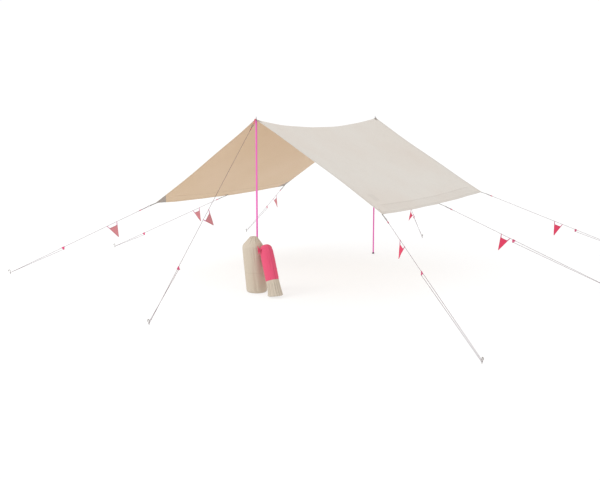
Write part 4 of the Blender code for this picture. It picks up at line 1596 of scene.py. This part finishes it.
@dataclass
class CarrySack:
    """A filled carry sack: rings about an axis, with folds that only go in."""

    name: str
    rings: tuple
    cloth: ClothFinish
    slot: Slot
    sides: int = 112
    band: float = 0.0060
    fill: float = 0.8
    give: float = 0.0030
    held_below: Pair = (0.02, 0.07)
    held_above: Pair = (0.60, 0.66)

    def place(self, s: np.ndarray, radius: np.ndarray, angle: np.ndarray) -> np.ndarray:
        """Row-frame points from the sack's own coordinates."""
        raise NotImplementedError

    def outline(self) -> tuple[np.ndarray, np.ndarray]:
        """The profile from the middle of the base to the middle of the top."""
        raise NotImplementedError

    def inset(self, s: np.ndarray, radius: np.ndarray, angle: np.ndarray, inner: np.ndarray) -> np.ndarray:
        """How far the folds go in."""
        raise NotImplementedError

    def finish_at(self, s: float) -> int:
        """Which finish a face wears at a height."""
        return 0

    def finishes(self) -> list:
        """The finishes that the sack wears."""
        return [self.cloth]

    def resampled(self, points: list[Pair], step: float) -> tuple[np.ndarray, np.ndarray]:
        """Even points along a profile, its corners softened.

        Args:
            points: height and radius pairs.
            step: the spacing.

        Returns:
            Heights and radii.
        """
        known = np.array(points)
        gone = np.concatenate([[0], np.cumsum(np.hypot(*np.diff(known, axis=0).T))])
        count = int(gone[-1] / step)
        even = np.linspace(0, gone[-1], count + 1)
        s, radius = np.interp(even, gone, known[:, 0]), np.interp(even, gone, known[:, 1])
        for _ in range(4):
            s[1:-1] = (s[:-2] + 2 * s[1:-1] + s[2:]) / 4
            radius[1:-1] = (radius[:-2] + 2 * radius[1:-1] + radius[2:]) / 4
        return s, radius

    def surface(self) -> tuple[np.ndarray, np.ndarray, np.ndarray]:
        """Heights, radii and angles of the folded surface, ring by ring."""
        s, radius = self.outline()
        top = int(np.argmax(s))
        inner = np.arange(len(s)) > top
        angle = 2 * math.pi * np.arange(self.sides) / self.sides
        grid_s, grid_angle = np.meshgrid(s, angle, indexing="ij")
        grid_r = np.broadcast_to(radius[:, None], grid_s.shape)
        grid_in = np.broadcast_to(inner[:, None], grid_s.shape)
        folded = np.maximum(grid_r - self.inset(grid_s, grid_r, grid_angle, grid_in), grid_r * 0.02)
        return grid_s, folded, grid_angle

    def build(self) -> bpy.types.Object:
        """Make the sack's cloth as one closed surface."""
        s, radius, angle = self.surface()
        points = self.place(s, radius, angle)
        rows, sides = s.shape
        draft = Draft()
        gone = np.concatenate([[0], np.cumsum(np.linalg.norm(np.diff(points[:, 0], axis=0), axis=-1))])
        girth = float(np.max(radius))
        faces, flats, kinds = [], [], []
        for i in range(rows - 1):
            for j in range(sides):
                k = (j + 1) % sides
                faces.append((i * sides + j, i * sides + k, (i + 1) * sides + k, (i + 1) * sides + j))
                x0, x1 = 2 * math.pi * girth * j / sides, 2 * math.pi * girth * (j + 1) / sides
                flats.append([(x0, gone[i]), (x1, gone[i]), (x1, gone[i + 1]), (x0, gone[i + 1])])
                kinds.append(self.finish_at(float(s[i, 0] + s[i + 1, 0]) / 2))
        for i in (0, rows - 1):
            faces.append(tuple(range(i * sides, (i + 1) * sides)))
            flats.append([(0.0, 0.0)] * sides)
            kinds.append(self.finish_at(float(s[i, 0])))
        draft.put(list(points.reshape(-1, 3)), faces, flats, 0, list(self.tones(s, angle).ravel()))
        draft.finish_of = kinds
        made = draft.make(self.name + "_cloth", self.finishes(), 60.0)
        free = smooth_step(*self.held_below, s) * (1 - smooth_step(*self.held_above, s))
        free[int(np.argmax(s[:, 0])):] = 0.0
        self.settle(made, free.reshape(-1, 1))
        modifier = made.modifiers.new("smooth", "SUBSURF")
        modifier.levels = modifier.render_levels = 1
        dress(made, "tarp", self.slot, self.name)
        return made

    def settle(self, made: bpy.types.Object, free: np.ndarray) -> None:
        """Fill the sack by a cloth simulation that its base and neck hold.

        Args:
            made: the sack with its folds made.
            free: how freely each point moves, from 0 to 1.
        """
        rest = np.array([vertex.co for vertex in made.data.vertices])
        held = made.vertex_groups.new(name="held")
        for index, share in enumerate(free[:, 0]):
            held.add([index], 1.0 - float(share), "REPLACE")
        cloth = made.modifiers.new("fill", "CLOTH")
        cloth.settings.quality = 5
        cloth.settings.mass = 0.15
        cloth.settings.vertex_group_mass = held.name
        cloth.settings.use_pressure = True
        cloth.settings.uniform_pressure_force = 4.0
        cloth.settings.shrink_min = -0.05
        cloth.settings.effector_weights.gravity = 0.0
        cloth.point_cache.frame_start, cloth.point_cache.frame_end = 1, 20
        for frame in range(1, 21):
            bpy.context.scene.frame_set(frame)
        filled = made.evaluated_get(bpy.context.evaluated_depsgraph_get()).data
        moved = np.array([vertex.co for vertex in filled.vertices]) - rest
        made.modifiers.remove(cloth)
        made.vertex_groups.remove(held)
        bpy.context.scene.frame_set(1)
        reach = np.linalg.norm(moved, axis=1, keepdims=True)
        LOG.info("%s: simulated move %.4f m on average, %.4f m at most", self.name, reach.mean(), reach.max())
        moved = moved * np.minimum(1, self.give / np.maximum(reach, 1e-9)) * free
        made.data.vertices.foreach_set("co", np.where(free > 0, self.within(rest + moved), rest).ravel())

    def within(self, points: np.ndarray) -> np.ndarray:
        """The points, drawn in to the solid form's surface where they are past it."""
        raise NotImplementedError

    def drawn_in(self, points: np.ndarray, centre: np.ndarray, s: np.ndarray) -> np.ndarray:
        """The points, no further from a centre than the rings at their heights reach."""
        off = points - centre
        limit = np.interp(s, *np.array(self.rings).T) - 0.0004
        reach = np.linalg.norm(off, axis=1)
        return centre + off * np.minimum(1, limit / np.maximum(reach, 1e-9))[:, None]

    def tones(self, s: np.ndarray, angle: np.ndarray) -> np.ndarray:
        """How light the cloth is, by place."""
        return np.ones_like(s)


@dataclass
class LargeSack(CarrySack):
    """The canvas sack: stands on its base, its neck gathered shut."""

    base: Pair = (0.0759, -1.6281)
    top: Pair = (0.0292, -1.6582)
    neck: Pair = (0.0168, 0.0109)
    neck_from: float = 0.560
    seam: float = 0.250

    def place(self, s: np.ndarray, radius: np.ndarray, angle: np.ndarray) -> np.ndarray:
        """Level rings whose centres sway from base to top, the neck leaning back."""
        height = self.rings[-1][0]
        share, bend = s / height, np.maximum(s - self.neck_from, 0) / (height - self.neck_from)
        x, y = (low + share * (high - low) + bend * back for low, high, back in zip(self.base, self.top, self.neck))
        return np.stack([x + radius * np.cos(angle), y + radius * np.sin(angle), s], axis=-1)

    def within(self, points: np.ndarray) -> np.ndarray:
        """The points, drawn in level with their ring's centre."""
        s = points[:, 2]
        return self.drawn_in(points, self.place(s, 0 * s, 0 * s), s)

    def outline(self) -> tuple[np.ndarray, np.ndarray]:
        """Base, body, neck and the closed pit of the gathers."""
        pit = [(0.6795, 0.034), (0.670, 0.027), (0.656, 0.016), (0.644, 0.005)]
        return self.resampled([(0.0, 0.004), *self.rings, *pit], self.band)

    def inset(self, s: np.ndarray, radius: np.ndarray, angle: np.ndarray, inner: np.ndarray) -> np.ndarray:
        """Gathers at the neck, soft creases down the body and the seam."""
        wander = angle + 0.10 * np.sin(3 * angle + 1.0) + 0.05 * np.sin(5 * angle)
        pleat = 0.5 - 0.5 * np.cos(17 * wander)
        gather = smooth_step(0.585, 0.672, s) * 0.19 * radius
        gather = np.where(inner, 0.30 * radius, gather)
        under = 0.0052 * smooth_step(0.43, 0.59, s) * (0.5 - 0.5 * np.cos(9 * wander + 0.7))
        body = smooth_step(0.01, 0.06, s) * (1 - smooth_step(0.53, 0.64, s))
        creases = np.zeros_like(s)
        for i in range(s.shape[0]):
            for j in range(s.shape[1]):
                spot = Vector((1.9 * math.cos(angle[i, j]), 1.9 * math.sin(angle[i, j]), 2.4 * s[i, j]))
                fine = Vector((6.5 * math.cos(angle[i, j]), 6.5 * math.sin(angle[i, j]), 5.0 * s[i, j] + 3.0))
                creases[i, j] = 0.0150 * max(0.0, noise.noise(spot)) + 0.0085 * max(0.0, noise.noise(fine))
        seam = 0.0016 * np.exp(-((s - self.seam) / 0.0045) ** 2) * ~inner
        slump = 0.0022 * (0.5 - 0.5 * np.cos(11 * wander)) * np.exp(-((s - 0.03) / 0.03) ** 2) * ~inner
        return gather * pleat + under * ~inner + body * creases * ~inner + seam + slump

    def tones(self, s: np.ndarray, angle: np.ndarray) -> np.ndarray:
        """Darker at the seam and the base: painted shade in the seam's groove and where the base meets the floor."""
        tone = 1 - 0.10 * np.exp(-((s - self.seam) / 0.004) ** 2)
        return tone * (1 - 0.10 * np.exp(-s / 0.015))


@dataclass
class SmallSack(CarrySack):
    """The pink sack with a pleated canvas end: leans on the large one."""

    base: Pair = (0.4317, -1.7500)
    lean: Pair = (-0.3462, 0.1562)
    sag: float = 0.040
    sag_until: float = 0.150
    join: float = 0.165
    seam_angle: float = -1.57
    held_below: Pair = (0.165, 0.200)
    held_above: Pair = (0.560, 0.598)
    mouth_at: float = 0.548
    mouth_faces: tuple = (-0.647, -0.839, 0.55)
    canvas: ClothFinish = SACK_CANVAS

    def axis(self) -> tuple[Vector, Vector, Vector, Vector]:
        """Middle of the lowest ring, the axis and two directions across it."""
        tilt = math.hypot(*self.lean)
        axis = Vector((*self.lean, math.sqrt(1 - tilt * tilt)))
        lift = max(radius * tilt - along * axis.z for along, radius in self.rings)
        across = axis.cross(Vector((0, 0, 1))).normalized()
        return Vector((*self.base, lift)), axis, across, axis.cross(across)

    def place(self, s: np.ndarray, radius: np.ndarray, angle: np.ndarray) -> np.ndarray:
        """Rings square to the leaning axis, the base sagging on its raised side."""
        base, axis, across, other = (np.array(part) for part in self.axis())
        ring = np.cos(angle)[..., None] * across + np.sin(angle)[..., None] * other
        reach = np.minimum(radius / np.interp(s, *np.array(self.rings).T), 1)
        drop = self.sag * np.maximum(0, 1 - s / self.sag_until) ** 2 * (1 - np.sin(angle) * reach) / 2
        return base + (s - drop)[..., None] * axis + radius[..., None] * ring

    def within(self, points: np.ndarray) -> np.ndarray:
        """The points, drawn in square to the leaning axis."""
        base, axis, _, _ = (np.array(part) for part in self.axis())
        s = (points - base) @ axis
        return self.drawn_in(points, base + s[:, None] * axis, s)

    def mouth(self) -> bpy.types.Object:
        """The gathered mouth at the upper left, its drawcord pulled tight."""
        base, axis, _, _ = self.axis()
        out = (Vector(self.mouth_faces) - Vector(self.mouth_faces).dot(axis) * axis).normalized()
        hub = base + self.mouth_at * axis
        profile = [(0.0120, 0.066), (0.0122, 0.080), (0.0118, 0.086), (0.0150, 0.092), (0.0190, 0.099),
                   (0.0225, 0.107), (0.0228, 0.1085), (0.0215, 0.1075), (0.0178, 0.099), (0.0137, 0.092),
                   (0.0105, 0.087), (0.0105, 0.066)]
        points, faces, flats = turned(profile, hub, out, 108)
        upright = out.cross(axis).normalized()
        folded = []
        for point in points:
            along = (point - hub).dot(out)
            off = point - hub - along * out
            turn = math.atan2(off.dot(axis), off.dot(upright))
            flare = min(max((along - 0.086) / 0.022, 0.0), 1.0)
            wave = 1 + (0.06 + 0.14 * flare) * math.sin(11 * turn + 0.8 * math.sin(2 * turn))
            spread = off * wave + 1.0 * flare * off.dot(axis) * axis - 0.25 * flare * off.dot(upright) * upright
            folded.append(hub + (along - 0.007 * flare * (1 + math.sin(2 * turn + 1.0)) / 2) * out + spread)
        draft = Draft()
        draft.put(folded, faces, flats)
        frill = dress(draft.make("small_sack_mouth", [self.cloth], 60.0), "tarp", self.slot)
        cord = Draft()
        route = []
        for step in range(60):
            turn = 2 * math.pi * step / 20
            route.append(hub + (0.0815 + 0.0034 * step / 60) * out + 0.0142 * (math.cos(turn) * upright + math.sin(turn) * axis))
        cord.put(*swept(route, round_section(0.0017, 8), out))
        toggle = [(0.0005, -0.0085), (0.0050, -0.0080), (0.0062, -0.0040), (0.0062, 0.0040), (0.0050, 0.0080), (0.0005, 0.0085)]
        cord.put(*turned(toggle, hub + 0.090 * out - 0.0225 * upright, axis, 20))
        knot = dress(cord.make("small_sack_drawcord", [PINK_BRAID], 60.0), "tarp", self.slot)
        return frill

    def outline(self) -> tuple[np.ndarray, np.ndarray]:
        """Flared canvas end, body and domed top."""
        return self.resampled([(0.0, 0.004), *self.rings, (0.606, 0.003)], self.band)

    def inset(self, s: np.ndarray, radius: np.ndarray, angle: np.ndarray, inner: np.ndarray) -> np.ndarray:
        """Pleats in the canvas end, soft dents in the body and the side seam."""
        wander = angle + 0.08 * np.sin(4 * angle + 0.4)
        fade = (1 - smooth_step(0.100, 0.162, s)) * smooth_step(0.0, 0.03, s)
        pleats = 0.0080 * (0.5 - 0.5 * np.cos(15 * wander)) * fade
        waist = 0.0028 * np.exp(-((s - self.join) / 0.006) ** 2)
        body = smooth_step(0.01, 0.04, s) * (1 - smooth_step(0.545, 0.595, s))
        dents = np.zeros_like(s)
        for i in range(s.shape[0]):
            for j in range(s.shape[1]):
                spot = Vector((1.6 * math.cos(angle[i, j]), 1.6 * math.sin(angle[i, j]), 3.1 * s[i, j] + 7.0))
                fine = Vector((5.0 * math.cos(angle[i, j]), 5.0 * math.sin(angle[i, j]), 9.0 * s[i, j]))
                dents[i, j] = 0.0105 * max(0.0, noise.noise(spot)) + 0.0062 * max(0.0, noise.noise(fine))
        off = np.angle(np.exp(1j * (angle - self.seam_angle)))
        seam = 0.0016 * np.exp(-((off * radius / 0.0032) ** 2)) * smooth_step(0.0, 0.02, s)
        gather = 0.0035 * smooth_step(0.560, 0.600, s) * (0.5 - 0.5 * np.cos(12 * wander))
        return pleats + waist + body * dents + seam + gather

    def finish_at(self, s: float) -> int:
        """Canvas below the join, pink above."""
        return 0 if s > self.join else 1

    def finishes(self) -> list:
        """Pink cloth and canvas."""
        return [self.cloth, self.canvas]

    def tones(self, s: np.ndarray, angle: np.ndarray) -> np.ndarray:
        """Darker at the side seam, the join and between the pleats: painted shade in their grooves."""
        off = np.angle(np.exp(1j * (angle - self.seam_angle)))
        tone = 1 - 0.28 * np.exp(-((off * 0.081 / 0.003) ** 2)) * (s > self.join)
        groove = (0.5 - 0.5 * np.cos(15 * (angle + 0.08 * np.sin(4 * angle + 0.4)))) ** 3
        tone = tone * (1 - 0.16 * groove * (1 - smooth_step(0.100, 0.162, s)))
        return tone * (1 - 0.15 * np.exp(-((s - self.join) / 0.004) ** 2))


@dataclass
class Studio:
    """Camera at the photograph's angle, pale floor and soft light."""

    camera_at: tuple = (5.736, -9.358, 2.143)
    pitch: float = 0.1565
    yaw: float = 0.5775
    lens: float = 48.36
    sensor: float = 36.0
    floor_radius: float = 90.0

    def camera(self) -> None:
        """Make the camera."""
        data = bpy.data.cameras.new("camera")
        data.lens = self.lens
        data.sensor_width = self.sensor
        data.clip_end = 300.0
        camera = bpy.data.objects.new("camera", data)
        camera.location = self.camera_at
        camera.rotation_euler = (math.pi / 2 - self.pitch, 0.0, self.yaw)
        bpy.context.scene.collection.objects.link(camera)
        bpy.context.scene.camera = camera

    def floor(self) -> None:
        """Make the floor, a wide pale disc."""
        draft = Draft()
        rings = [(0.0, 0.0), (6.0, 0.0), (25.0, 0.0), (self.floor_radius, 0.0), (self.floor_radius, -0.01), (0.0, -0.01)]
        draft.put(*turned(rings, Vector((0, 0, -0.0005)), Vector((0, 0, 1)), 96))
        draft.make("floor", [FloorFinish()])

    def area(self, name: str, place: tuple, aim: tuple, size: float, power: float) -> None:
        """Add one soft light.

        Args:
            name: its name.
            place: where it stands.
            aim: the point that it faces.
            size: its width.
            power: its power in watts.
        """
        data = bpy.data.lights.new(name, "AREA")
        data.size = size
        data.energy = power
        light = bpy.data.objects.new(name, data)
        light.location = place
        light.rotation_euler = (Vector(aim) - Vector(place)).to_track_quat("-Z", "Y").to_euler()
        bpy.context.scene.collection.objects.link(light)

    def light(self) -> None:
        """Light the scene from all round, with a soft key from the upper left."""
        world = bpy.data.worlds.new("studio")
        world.use_nodes = True
        background = world.node_tree.nodes["Background"]
        background.inputs["Color"].default_value = (1.0, 1.0, 1.0, 1.0)
        background.inputs["Strength"].default_value = 1.03
        bpy.context.scene.world = world
        bpy.context.scene.view_settings.view_transform = "Standard"
        self.area("key", (-5.0, -9.0, 7.5), (0.0, 0.0, 1.0), 5.0, 380.0)

    def build(self) -> None:
        """Build the studio."""
        self.camera()
        self.floor()
        self.light()


GUY_TABLE = (
    ("front_left", Place.LEFT, 0.0, (-3.338, -2.570), (0.573, 0.737), 1.395, False),
    ("mid_left", Place.LEFT, 0.5, (-3.755, -0.253), (0.505, 0.645), 1.652, False),
    ("rear_left", Place.LEFT, 1.0, (-3.007, 2.275), (0.335, 0.490), 0.781, False),
    ("front_right", Place.RIGHT, 0.0, (3.385, -2.867), (0.500, 0.640), 1.083, True),
    ("mid_right", Place.RIGHT, 0.5, (3.7561, 0.680), (0.835, 0.970), 1.012, True),
    ("rear_right", Place.RIGHT, 1.0, (3.480, 3.4887), (1.261, 1.419), 1.654, True),
    ("front_ridge", Place.RIDGE, 0.0, (0.064, -3.483), (1.363, 1.526), 2.161, False),
    ("rear_ridge", Place.RIDGE, 1.0, (-0.027, 3.366), (2.040, 2.194), 2.232, True),
)
LARGE_RINGS = (
    (0.000, 0.112), (0.008, 0.121), (0.030, 0.127), (0.250, 0.129), (0.400, 0.129), (0.530, 0.129),
    (0.562, 0.126), (0.582, 0.117), (0.664, 0.054), (0.674, 0.047), (0.680, 0.040),
)
SMALL_RINGS = (
    (0.000, 0.088), (0.006, 0.092), (0.020, 0.091), (0.060, 0.087), (0.120, 0.083), (0.200, 0.080),
    (0.400, 0.081), (0.520, 0.080), (0.556, 0.076), (0.584, 0.063), (0.599, 0.044), (0.606, 0.020),
)


def corners(box: tuple) -> list[list[float]]:
    """A box's two corners as plain lists of numbers."""
    return [[float(value) for value in corner] for corner in box]


def main() -> None:
    """Build every piece of the tarp round its solid parts."""
    logging.basicConfig(level=logging.INFO, format="%(name)s: %(message)s")
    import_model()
    Studio().build()
    canopy = Canopy()
    canopy.dress_all()
    for name, y in (("front_pole", -canopy.pole_y), ("rear_pole", canopy.pole_y)):
        pole = Pole(name, y)
        pole.build()
        pole.foot()
    rows = []
    for name, place, u, peg, flag, runner, in_light in GUY_TABLE:
        guy = GuyLine(canopy, name, place, u, peg, flag, runner, in_light)
        guy.knot_at += 0.065 * (name == "front_left")
        guy.build()
        rows += guy.tie_stitches()
    dress(Stitching(0.0055, 0.0040).sew("tie_stitches", rows, PALE_THREAD), "tarp", Slot.WEBBING)
    LargeSack("large_sack", LARGE_RINGS, SACK_CANVAS, Slot.LARGE_SACK).build()
    small = SmallSack("small_sack", SMALL_RINGS, SACK_PINK, Slot.SMALL_SACK)
    small.build()
    small.mouth()


if __name__ == "__main__":
    main()
